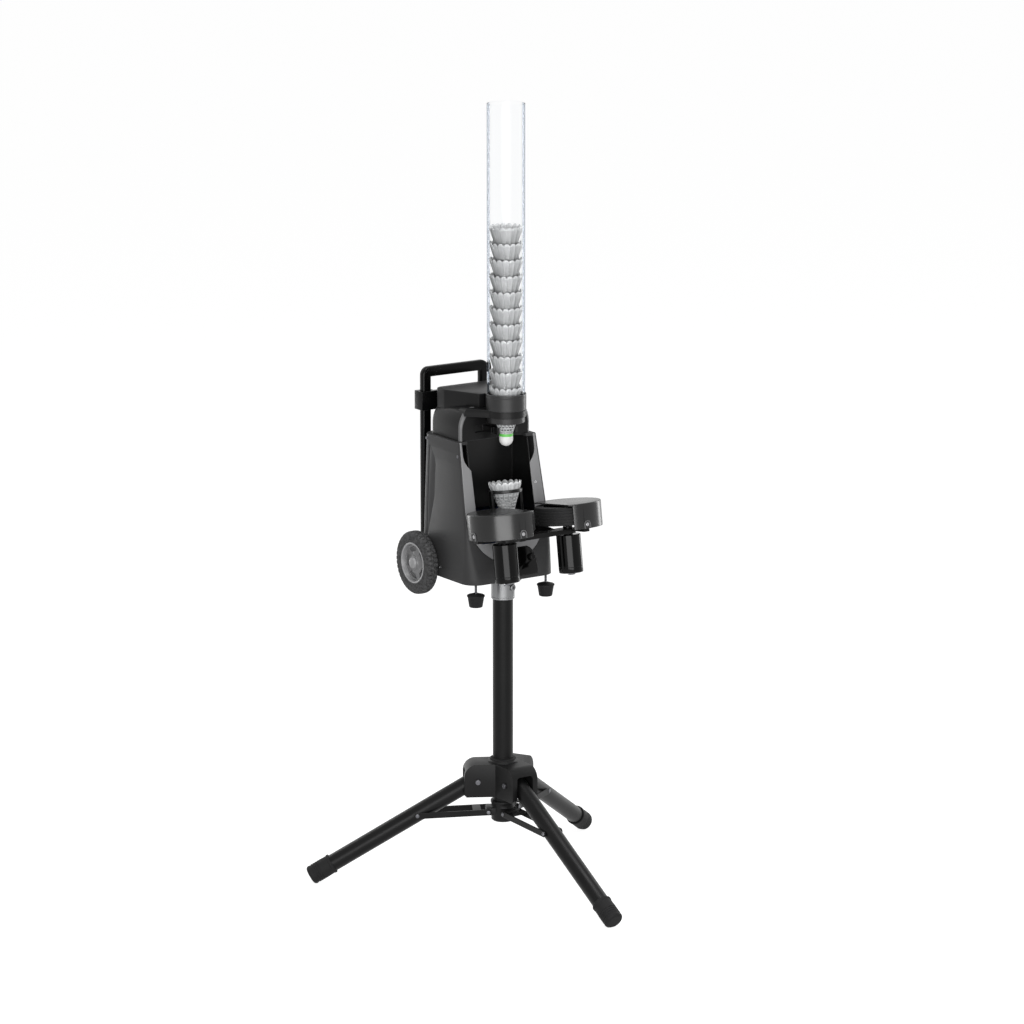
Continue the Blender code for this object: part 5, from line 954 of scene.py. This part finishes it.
VANE_ROWS = 7
VANE_COLUMNS = 6
VANE_THICK = 0.0004
SKIRT_THICK = 0.0006
SKIRT_COLUMNS = 64
SKIRT_ROWS = 11


def vanes(mesh, matrix, foot, light=1.0):
    """The overlapping vanes of one shuttlecock, each a bent leaf with a round tip, with painted shade at its root and
    edges, a darker middle line, and light scaling it all as painted light.
    """
    shade = mesh.verts.layers.float_color.get("vane_painted_shade") or mesh.verts.layers.float_color.new("vane_painted_shade")
    for k in range(VANES):
        middle = 2.0 * math.pi * (k + 0.5) / VANES
        grid = []
        for r in range(VANE_ROWS + 1):
            share = r / VANE_ROWS
            line = []
            for c in range(VANE_COLUMNS + 1):
                across = 2.0 * c / VANE_COLUMNS - 1.0
                top = SHUTTLE_HEIGHT - 0.006 * abs(across) ** 2.2
                height = foot + (top - foot) * share
                half = 0.0028 + 0.0041 * math.sin(min(1.0, 0.25 + share) * math.pi / 2)
                radius = skirt_radius(height) - 0.0007 + 0.0008 * across - 0.0012 * (1.0 - across ** 2)
                v = mesh.verts.new(matrix @ polar(radius, middle + across * half / max(radius, 0.01), height))
                # Painted shade: darker towards the root and at the edges, darker down the middle, scaled by the painted
                # light factor.
                painted_shade_tone = (0.45 + 0.55 * share ** 0.6) * (1.0 - 0.35 * (abs(across) > 0.9)) * light
                painted_shade_tone *= 0.86 if abs(across) < 0.1 else 1.0
                v[shade] = (painted_shade_tone, painted_shade_tone, painted_shade_tone, 1.0)
                line.append(v)
            grid.append(line)
        quilt(mesh, grid, closed=False)


def lattice_skirt(name, matrix, high, body):
    """The skirt below the vanes: a cone with rows of slots left open between its ribs."""
    mesh = bmesh.new()
    shade = mesh.verts.layers.float_color.new("vane_painted_shade")
    rings = []
    for r in range(SKIRT_ROWS + 1):
        height = CORK_HEIGHT + (high - CORK_HEIGHT) * r / SKIRT_ROWS
        ring = []
        for c in range(SKIRT_COLUMNS):
            v = mesh.verts.new(matrix @ polar(skirt_radius(height) - 0.0009, 2.0 * math.pi * c / SKIRT_COLUMNS, height))
            v[shade] = WHITE
            ring.append(v)
        rings.append(ring)
    for r in range(SKIRT_ROWS):
        for c in range(SKIRT_COLUMNS):
            if r % 2 == 0 or (c + 2 * (r // 2 % 2)) % 4 == 0:
                d = (c + 1) % SKIRT_COLUMNS
                mesh.faces.new((rings[r][c], rings[r][d], rings[r + 1][d], rings[r + 1][c]))
    feathered(name, mesh, body, SKIRT_THICK)


def cork(name, matrix, body):
    """A domed cork with its green band, for one shuttlecock."""
    dome = [(CORK_RADIUS * math.sin(a), CORK_RADIUS - CORK_RADIUS * math.cos(a)) for a in quarter(10)]
    turned(name, dome + [(CORK_RADIUS, CORK_HEIGHT), (0.0, CORK_HEIGHT)], matrix, cork_white, body, 48)
    tape = [(CORK_RADIUS + 0.0002, BAND_LOW), (CORK_RADIUS + 0.0002, BAND_HIGH), (CORK_RADIUS - 0.001, BAND_HIGH),
            (CORK_RADIUS - 0.001, BAND_LOW)]
    turned(name + "_band", tape, matrix, green_tape, body, 48)


stack_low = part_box("shuttle_stack")[0]
mesh = bmesh.new()
random.seed(7)
for i in range(STACK_COUNT):
    spin = Matrix.Rotation(random.uniform(0.0, 2.0 * math.pi), 4, "Z")
    vanes(mesh, Matrix.Translation((0.0, tube_y, stack_low.z + STACK_PITCH * i)) @ spin, VANE_FOOT)
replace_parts(feathered("stacked_vanes", mesh, "machine", VANE_THICK), "shuttle_stack")
first = Matrix.Translation((0.0, tube_y, stack_low.z))
lattice_skirt("lowest_skirt", first, VANE_FOOT + 0.012, "machine")
cork("lowest_cork", first, "machine")

head_axis = Vector(joints["launch_wheel_left_spin"]["axis"])
if head_axis.z < 0.0:
    head_axis = -head_axis
head_pivot = Vector(joints["head_tilt"]["pos_m"])
head_side = Vector((1.0, 0.0, 0.0))
head_back = head_axis.cross(head_side)
head = Matrix.Translation(head_pivot) @ Matrix((head_side, head_back, head_axis)).transposed().to_4x4()
seat = Vector(joints["carriage_feed"]["pos_m"])
standing = Matrix.Translation(seat) @ head.to_3x3().to_4x4()
mesh = bmesh.new()
# The loaded shuttlecock's vanes get 1.3 times the brightness: painted light.
vanes(mesh, standing, VANE_FOOT + 0.012, 1.3)
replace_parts(feathered("loaded_vanes", mesh, "carriage", VANE_THICK), "loaded_shuttle")
lattice_skirt("loaded_skirt", standing, VANE_FOOT + 0.02, "carriage")
cork("loaded_cork", standing, "carriage")

# Handle: a bent black tube of rounded section that slides in a moulded bracket on the back of the housing. Two
# spring buttons stand out of each rod, and two screws hold the bracket's strap.
handle_low, handle_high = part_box("trolley_handle")
ROD_HALF_W = 0.01
ROD_HALF_D = 0.007
ROD_CORNER = 0.0045
BEND = 0.016
BUTTON_RISE = 0.012
BUTTON_PITCH = 0.018
handle_y = (handle_low.y + handle_high.y) / 2
rod_x = handle_high.x - ROD_HALF_W
middle_line = [(rod_x, handle_low.z)]
middle_line += bow(rod_x + ROD_HALF_W - BEND, handle_high.z - BEND, BEND - ROD_HALF_W, 0.0, 90.0, 10)
middle_line += [(-x, z) for x, z in reversed(middle_line)]
section = rounded(-ROD_HALF_W, -ROD_HALF_D, ROD_HALF_W, ROD_HALF_D, ROD_CORNER, 5)
rings = []
for i, (x, z) in enumerate(middle_line):
    before = middle_line[max(i - 1, 0)]
    after = middle_line[min(i + 1, len(middle_line) - 1)]
    run = Vector((after[0] - before[0], after[1] - before[1])).normalized()
    side = Vector((run.y, -run.x))
    rings.append([(x + side.x * s, handle_y + d, z + side.y * s) for s, d in section])
handle_black = finish("black satin handle", 0.0014, 0.0022, 0.22, 0.3, edge=(0.001, 0.08),
                      shine=0.117)
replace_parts(place_mesh("handle_bail", skinned(rings), handle_black, "handle"), "trolley_handle")
for sign, label in BOTH_SIDES:
    for i in range(2):
        at = Vector((sign * rod_x, handle_y - ROD_HALF_D, handle_low.z + BUTTON_RISE + BUTTON_PITCH * i))
        button = [(0.0, -0.0005), (0.0032, -0.0005), (0.003, 0.001), (0.0, 0.0016)]
        turned(f"handle_button_{label}_{i}", button, along(at, (0.0, -1.0, 0.0)), zinc, "handle", 24)
bracket_low, bracket_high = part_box("handle_bracket")
CLAMP_TALL = 0.036
STRAP_HALF = 0.03
WEB_HALF = 0.04
CLAMP_WALL = 0.0063
STRAP_SCREW_X = 0.02
clamp_low = bracket_high.z - CLAMP_TALL
deep = ROD_HALF_D + CLAMP_WALL
clamp = brick((bracket_low.x, handle_y - deep, clamp_low), (bracket_high.x, handle_y + deep, bracket_high.z))
web_y = handle_y - 0.004
web = brick((-WEB_HALF, hood_back + 0.0004, LID_UNDER + 0.002), (WEB_HALF, web_y, bracket_high.z - 0.006))
strap = brick((-STRAP_HALF, web_y - 0.006, bracket_low.z), (STRAP_HALF, web_y, clamp_low + 0.01))
pad = brick((-STRAP_HALF, back_face + 0.0004, bracket_low.z), (STRAP_HALF, web_y - 0.0005, bracket_low.z + 0.016))
cuts = []
for x in (-rod_x, rod_x):
    hole = rounded(x - ROD_HALF_W - 0.0003, handle_y - ROD_HALF_D - 0.0003, x + ROD_HALF_W + 0.0003,
                   handle_y + ROD_HALF_D + 0.0003, ROD_CORNER, 5)
    cuts.append(slab(hole, clamp_low - 0.02, bracket_high.z + 0.02))
gap = rod_x - ROD_HALF_W - 0.006
cuts.append(brick((-gap, web_y + 0.0003, clamp_low - 0.02), (gap, handle_y + 0.1, bracket_high.z + 0.02)))
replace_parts(fitted("bail_bracket", clamp, handle_black, "machine", [web, strap, pad], cuts, 0.0018, 3),
            "handle_bracket")
for sign, label in BOTH_SIDES:
    at = (sign * STRAP_SCREW_X, web_y, bracket_low.z + 0.008)
    socket_screw("strap_screw_" + label, at, (0.0, 1.0, 0.0), 0.0038, zinc, "machine", 0.0018)

# Transport wheels: grey moulded rims with five pockets and a pale lip, on a steel axle, in black rubber tyres
# with two rows of tread blocks.
rim_grey = finish("grey rim plastic", 0.15, 0.19, 0.32, 0.44, grain=(900.0, 0.00003),
                  edge=(0.0008, 0.4), edge_tint_of_wear_and_highlight=(0.45, 0.45, 0.45), shine=0.52)
lip_plastic = finish("pale grey rim lip", 0.26, 0.32, 0.34, 0.44, grain=(900.0, 0.00003),
                     edge=(0.0006, 0.3), edge_tint_of_wear_and_highlight=(0.55, 0.55, 0.55), shine=0.4)
tread_rubber = finish("dusty black tyre rubber", 0.012, 0.07, 0.6, 0.8, grain=(900.0, 0.0002),
                      edge=(0.0008, 0.25), cloud=220.0, edge_tint_of_wear_and_highlight=(0.1, 0.1, 0.1), shine=0.26)
carry_over(steel, "wheel_axle")
TREAD_BLOCKS = 40
TREAD_STEPS = 8
TREAD_DEEP = 0.0022
TYRE_ROUND = 0.0063
RIM_RADIUS_OUT = 0.0395
LIP = 0.0035
HUB_RADIUS = 0.0135
AXLE_BORE = 0.0054
SPOKES = 5
RIVET_CIRCLE = 0.018
for sign, label in BOTH_SIDES:
    low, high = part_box("tyre_" + label)
    centre = (low + high) / 2
    tyre_radius = (high.z - low.z) / 2
    body = "transport_wheel_" + label
    outward = Vector((sign, 0.0, 0.0))
    half = (high.x - low.x) / 2
    at = along(centre, outward)
    section = [(RIM_RADIUS_OUT + 0.0003, -half), (0.044, -half), (0.0446, -half + 0.0006), (0.0452, -half)]
    section += [(tyre_radius - 0.0065 + TYRE_ROUND * math.sin(a), -(half - TYRE_ROUND) - TYRE_ROUND * math.cos(a))
                for a in quarter(6)]
    section += [(tyre_radius, -0.0016), (tyre_radius - 0.0018, -0.0012)]
    section += [(r, -h) for r, h in reversed(section)]
    tyre = bmesh.new()
    rings = []
    count = TREAD_BLOCKS * TREAD_STEPS
    for i in range(count):
        a = 2.0 * math.pi * i / count
        ring = []
        for r, h in section:
            shift = (i + (TREAD_STEPS // 2 if h > 0.0 else 0)) % TREAD_STEPS
            groove = TREAD_DEEP if shift in (0, 1) and r > tyre_radius - 0.0062 else 0.0
            ring.append(tyre.verts.new(at @ polar(r - groove, a, h)))
        rings.append(ring)
    quilt(tyre, rings + rings[:1])
    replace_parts(place_mesh("tread_tyre_" + label, tyre, tread_rubber, body, 30.0), "tyre_" + label)

    inside = RIM_RADIUS_OUT - LIP
    profile = [(AXLE_BORE, -half), (HUB_RADIUS, -half), (HUB_RADIUS, -0.004), (inside - 0.002, -0.004),
               (inside, -half), (RIM_RADIUS_OUT, -half), (RIM_RADIUS_OUT, half), (inside + 0.0006, half),
               (inside, half - 0.0006), (inside - 0.002, 0.004), (HUB_RADIUS + 0.006, 0.004),
               (HUB_RADIUS + 0.001, half - 0.004), (HUB_RADIUS, half - 0.002), (AXLE_BORE, half - 0.002)]
    windows = []
    for i in range(SPOKES):
        start = 360.0 / SPOKES * i + 9.0
        end = start + 52.0
        window = bow(0.0, 0.0, inside - 0.0045, start, end, 10)
        window += bow(0.0, 0.0, HUB_RADIUS + 0.009, end - 5.0, start + 5.0, 6)
        windows.append(slab(window, -0.0015, half * 2, "Z", at))
    rim = fitted("spoked_rim_" + label, revolve(profile, at, 90), rim_grey, body, (), windows, 0.0007)
    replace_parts(rim, "wheel_rim_" + label)
    ring = offset(RIM_RADIUS_OUT, half, [(-0.0004, -0.0006), (-0.0003, 0.0004), (-0.0014, 0.001), (-0.003, 0.0004),
                                         (-0.0034, -0.0008)])
    turned("rim_trim_" + label, ring, at, lip_plastic, body, 72)
    cap = offset(0.0, half, [(0.0, 0.0026), (0.006, 0.0024), (0.0098, 0.0012), (0.0112, -0.0012), (0.0112, -0.0035),
                             (0.0, -0.0035)])
    turned("hub_cap_" + label, cap, at, lip_plastic, body, 48)
    for i in range(SPOKES):
        spot = at @ polar(RIVET_CIRCLE, math.radians(360.0 / SPOKES * i + 36.5), 0.004)
        socket_screw(f"rim_rivet_{label}_{i}", spot, outward, 0.0018, steel, body, 0.0008)

# Levelling feet: threaded steel studs through the base plate, each with a conical rubber pad on its lower end.
# The thread is a row of plain rings, one for each turn.
PITCH = 0.001
for label in ("left", "right"):
    stud_low, stud_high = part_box("foot_stud_" + label)
    centre = (stud_low + stud_high) / 2
    at = Matrix.Translation((centre.x, centre.y, 0.0))
    body = "level_foot_" + label
    thread = [(0.0, stud_low.z)]
    turns = int((stud_high.z - stud_low.z) / PITCH)
    for i in range(turns):
        thread += [(0.0025, stud_low.z + PITCH * (i + 0.2)), (0.0025, stud_low.z + PITCH * (i + 0.4)),
                   (0.0021, stud_low.z + PITCH * (i + 0.7)), (0.0021, stud_low.z + PITCH * (i + 0.9))]
    thread += [(0.0, stud_high.z)]
    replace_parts(turned("threaded_stud_" + label, thread, at, zinc, body, 20), "foot_stud_" + label)
    pad_low, pad_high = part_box("foot_pad_" + label)
    radius = (pad_high.x - pad_low.x) / 2
    cone = offset(0.0, pad_low.z, [(0.0, 0.0012), (0.0085, 0.001), (0.01, 0.0), (0.012, 0.0), (0.0128, 0.001)])
    cone += offset(0.0, pad_high.z, [(radius - 0.0012, -0.0062), (radius, -0.0056), (radius, -0.0036),
                                (radius - 0.0012, -0.0028), (0.0085, -0.001), (0.007, 0.0), (0.0028, 0.0),
                                (0.0028, -0.0095), (0.0, -0.0095)])
    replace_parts(turned("cone_pad_" + label, cone, at, rubber, body, 48), "foot_pad_" + label)

# Launch head: a coated plate on a steel tilt shaft, two gloss black motors with zinc end caps, two rubber faced
# wheels and a guard over each. Each guard is screwed on through bosses with a lighter grey rib round their edge,
# a painted highlight.
# Its edges turn towards mid grey at half strength: a painted highlight along the guard's rims.
guard_grey = finish("black satin guard plastic", 0.004, 0.0055, 0.22, 0.29,
                    grain=(800.0, 0.00004), edge=(0.0014, 0.5), edge_tint_of_wear_and_highlight=(0.2, 0.2, 0.205), shine=0.42)
boss_rib_highlight_grey = finish("grey painted highlight on boss rib", 0.075, 0.095, 0.26, 0.34, edge=(0.0005, 0.3), shine=0.4)
carry_over(powder_coat, "launch_frame", "tilt_bracket")
carry_over(steel, "tilt_shaft")
carry_over(pit_black, "shuttle_cradle", "pusher")
motor_black = finish("gloss black motor can", 0.0006, 0.001, 0.1, 0.16,
                     grain=(1200.0, 0.00001), edge=(0.0006, 0.1), shine=0.143)
MOTOR_FOOT = -0.097
MOTOR_HEAD = -0.0238
MOTOR_RADIUS = 0.0232
WHEEL_RADIUS = 0.06
WHEEL_LOW = -0.002
WHEEL_HIGH = 0.032
CORE_RADIUS = 0.048
WHEEL_BORE = 0.0034
CORE_HUB = 0.011
HOLE_CIRCLE = 0.029
HOLE_RADIUS = 0.0085
GUARD_RADIUS = 0.0665
GUARD_LOW = -0.0105
GUARD_ROOF = 0.035
GUARD_TOP = 0.0375
GUARD_EDGE = 0.0022
GUARD_INNER = 0.04
BOSS_PROUD = 0.0015
POCKET_PROUD = 0.0001
RIB_PROUD = 0.0004
BOSS_RISE = 0.0085
BOSS_HALF = 0.0068
POCKET_HALF = 0.005
RIB_OUTER = 0.0072
RIB_INNER = 0.0052
FRONT_TURN = 113.0
REAR_TURN = 45.0


def arched(half, low, middle, steps):
    """An outline with upright sides and a round top."""
    return [(-half, low)] + bow(0.0, middle, half, 180.0, 0.0, steps) + [(half, low)]


for sign, label in BOTH_SIDES:
    spin = head.inverted() @ Vector(joints[f"launch_wheel_{label}_spin"]["pos_m"])
    at = head @ Matrix.Translation((spin.x, spin.y, 0.0))
    can = [(0.0, MOTOR_FOOT - 0.0008), (0.012, MOTOR_FOOT - 0.0008)]
    can += offset(MOTOR_RADIUS, MOTOR_FOOT, [(-0.002, 0.0), (-0.0004, 0.0008), (0.0, 0.002), (0.0, 0.011),
                                             (-0.0004, 0.0113), (-0.0004, 0.0119), (0.0, 0.0122)])
    can += [(MOTOR_RADIUS, MOTOR_HEAD - 0.0012), (MOTOR_RADIUS - 0.0012, MOTOR_HEAD), (0.003, MOTOR_HEAD),
            (0.003, WHEEL_HIGH - 0.0045), (0.0026, WHEEL_HIGH - 0.004), (0.0, WHEEL_HIGH - 0.004)]
    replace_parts(turned("motor_can_" + label, can, at, motor_black, "launch_head", 96), "launch_motor_" + label)
    end_cap = [(0.0, -0.101), (0.0066, -0.101), (0.0078, -0.1002), (0.008, -0.099), (0.0088, -0.0984),
               (0.01, -0.0982), (0.01, -0.0972), (0.0, -0.0972)]
    turned("motor_end_cap_" + label, end_cap, at, zinc, "launch_head", 48)
    for i in range(2):
        spot = at @ polar(0.016, math.pi * i + 0.6, MOTOR_FOOT - 0.0004)
        socket_screw(f"motor_screw_{label}_{i}", spot, -head_axis, 0.0018, steel, "launch_head", 0.0012)

    core_in = CORE_RADIUS - 0.004
    core = [(WHEEL_BORE, -0.006), (CORE_HUB, -0.006), (CORE_HUB, 0.004), (core_in, 0.004), (core_in, WHEEL_LOW),
            (CORE_RADIUS, WHEEL_LOW), (CORE_RADIUS, WHEEL_HIGH), (core_in, WHEEL_HIGH), (core_in, 0.026),
            (CORE_HUB, 0.026), (CORE_HUB, WHEEL_HIGH - 0.001), (WHEEL_BORE, WHEEL_HIGH - 0.001)]
    spokes = [at @ Matrix.Translation(polar(HOLE_CIRCLE, math.pi / 3 * i)) for i in range(6)]
    holes = [rod(HOLE_RADIUS, 0.0, 0.03, spoke, 32) for spoke in spokes]
    spinning = "launch_wheel_" + label
    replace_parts(fitted("wheel_core_" + label, revolve(core, at, 84), nylon, spinning, (), holes, 0.0005),
                "launch_wheel_core_" + label)
    pad = [(CORE_RADIUS + 0.0003, WHEEL_LOW), (WHEEL_RADIUS - 0.0015, WHEEL_LOW), (WHEEL_RADIUS, WHEEL_LOW + 0.0015)]
    for i in range(5):
        level = WHEEL_LOW + 0.005 + 0.0055 * i
        pad += offset(WHEEL_RADIUS, level, [(0.0, 0.0), (-0.0007, 0.0005), (-0.0007, 0.0012), (0.0, 0.0017)])
    pad += [(WHEEL_RADIUS, WHEEL_HIGH - 0.0015), (WHEEL_RADIUS - 0.0015, WHEEL_HIGH),
            (CORE_RADIUS + 0.0003, WHEEL_HIGH)]
    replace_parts(turned("grip_tyre_" + label, pad, at, rubber, spinning, 120), "launch_wheel_tyre_" + label)

    inside = GUARD_RADIUS - 0.0025
    cup = [(0.0, GUARD_ROOF), (inside - 0.001, GUARD_ROOF), (inside, GUARD_ROOF - 0.001), (inside, GUARD_LOW),
           (GUARD_RADIUS, GUARD_LOW)]
    cup += [(GUARD_RADIUS - GUARD_EDGE * (1.0 - math.cos(t)), GUARD_TOP - GUARD_EDGE * (1.0 - math.sin(t)))
            for t in quarter(5)] + [(0.0, GUARD_TOP)]
    if sign < 0:
        opened = (180.0 + FRONT_TURN, 540.0 - REAR_TURN)
        spots = (180.0, 270.0)
    else:
        opened = (-FRONT_TURN, REAR_TURN - 360.0)
        spots = (0.0, 270.0)
    far = GUARD_RADIUS * 2
    away = slab([(0.0, 0.0)] + bow(0.0, 0.0, far, *opened, 12), GUARD_LOW - 0.01, GUARD_ROOF, "Z", at)
    near = abs(spin.x) - GUARD_INNER
    from_x, to_x = (near, far) if sign < 0 else (-far, -near)
    inner_side = brick((from_x, -far, GUARD_LOW - 0.01), (to_x, far, GUARD_TOP + 0.02), at)
    bosses = []
    pockets = []
    boss_z = GUARD_LOW + BOSS_RISE
    rib_low = GUARD_LOW + 0.0002
    for turn in spots:
        out = swung(at, turn)
        boss = arched(BOSS_HALF, GUARD_LOW, boss_z, 14)
        bosses.append(slab(boss, GUARD_RADIUS - 0.002, GUARD_RADIUS + BOSS_PROUD, "X", out))
        pocket = arched(POCKET_HALF, GUARD_LOW - 0.002, boss_z, 14)
        pockets.append(slab(pocket, GUARD_RADIUS + POCKET_PROUD, GUARD_RADIUS + 0.01, "X", out))
    guard = fitted("guard_cup_" + label, revolve(cup, at, 120), guard_grey, "launch_head", bosses,
                   [away, inner_side, *pockets], 0.0005)
    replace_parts(guard, "wheel_guard_" + label)
    for i, turn in enumerate(spots):
        out = swung(at, turn)
        # The lighter grey rib round each boss is a painted highlight on the boss's edge.
        rib = arched(RIB_OUTER, rib_low, boss_z, 16) + arched(RIB_INNER, rib_low, boss_z, 16)[::-1]
        highlight_rib = slab(rib, GUARD_RADIUS - 0.0005, GUARD_RADIUS + BOSS_PROUD + RIB_PROUD, "X", out)
        fitted(f"guard_highlight_rib_{label}_{i}", highlight_rib, boss_rib_highlight_grey, "launch_head", edge=0.0004)
        spot = out @ Vector((GUARD_RADIUS + POCKET_PROUD, 0.0, GUARD_LOW + 0.008))
        direction = out.to_3x3() @ Vector((1.0, 0.0, 0.0))
        socket_screw(f"guard_screw_{label}_{i}", spot, direction, 0.0034, steel, "launch_head", 0.001)

# Inside: battery in a blue sleeve, control board, feed motor and tilt gear motor. They keep their plain shapes,
# because they are seen only through the mouth.
sleeve_blue = finish("blue shrink sleeve", (0.02, 0.035, 0.1), (0.026, 0.045, 0.12), 0.35, 0.5)
board = finish("green circuit board", (0.02, 0.13, 0.06), (0.03, 0.17, 0.08), 0.4, 0.55)
carry_over(sleeve_blue, "battery_pack")
carry_over(board, "control_board")
carry_over(zinc, "feed_motor", "tilt_gearmotor")
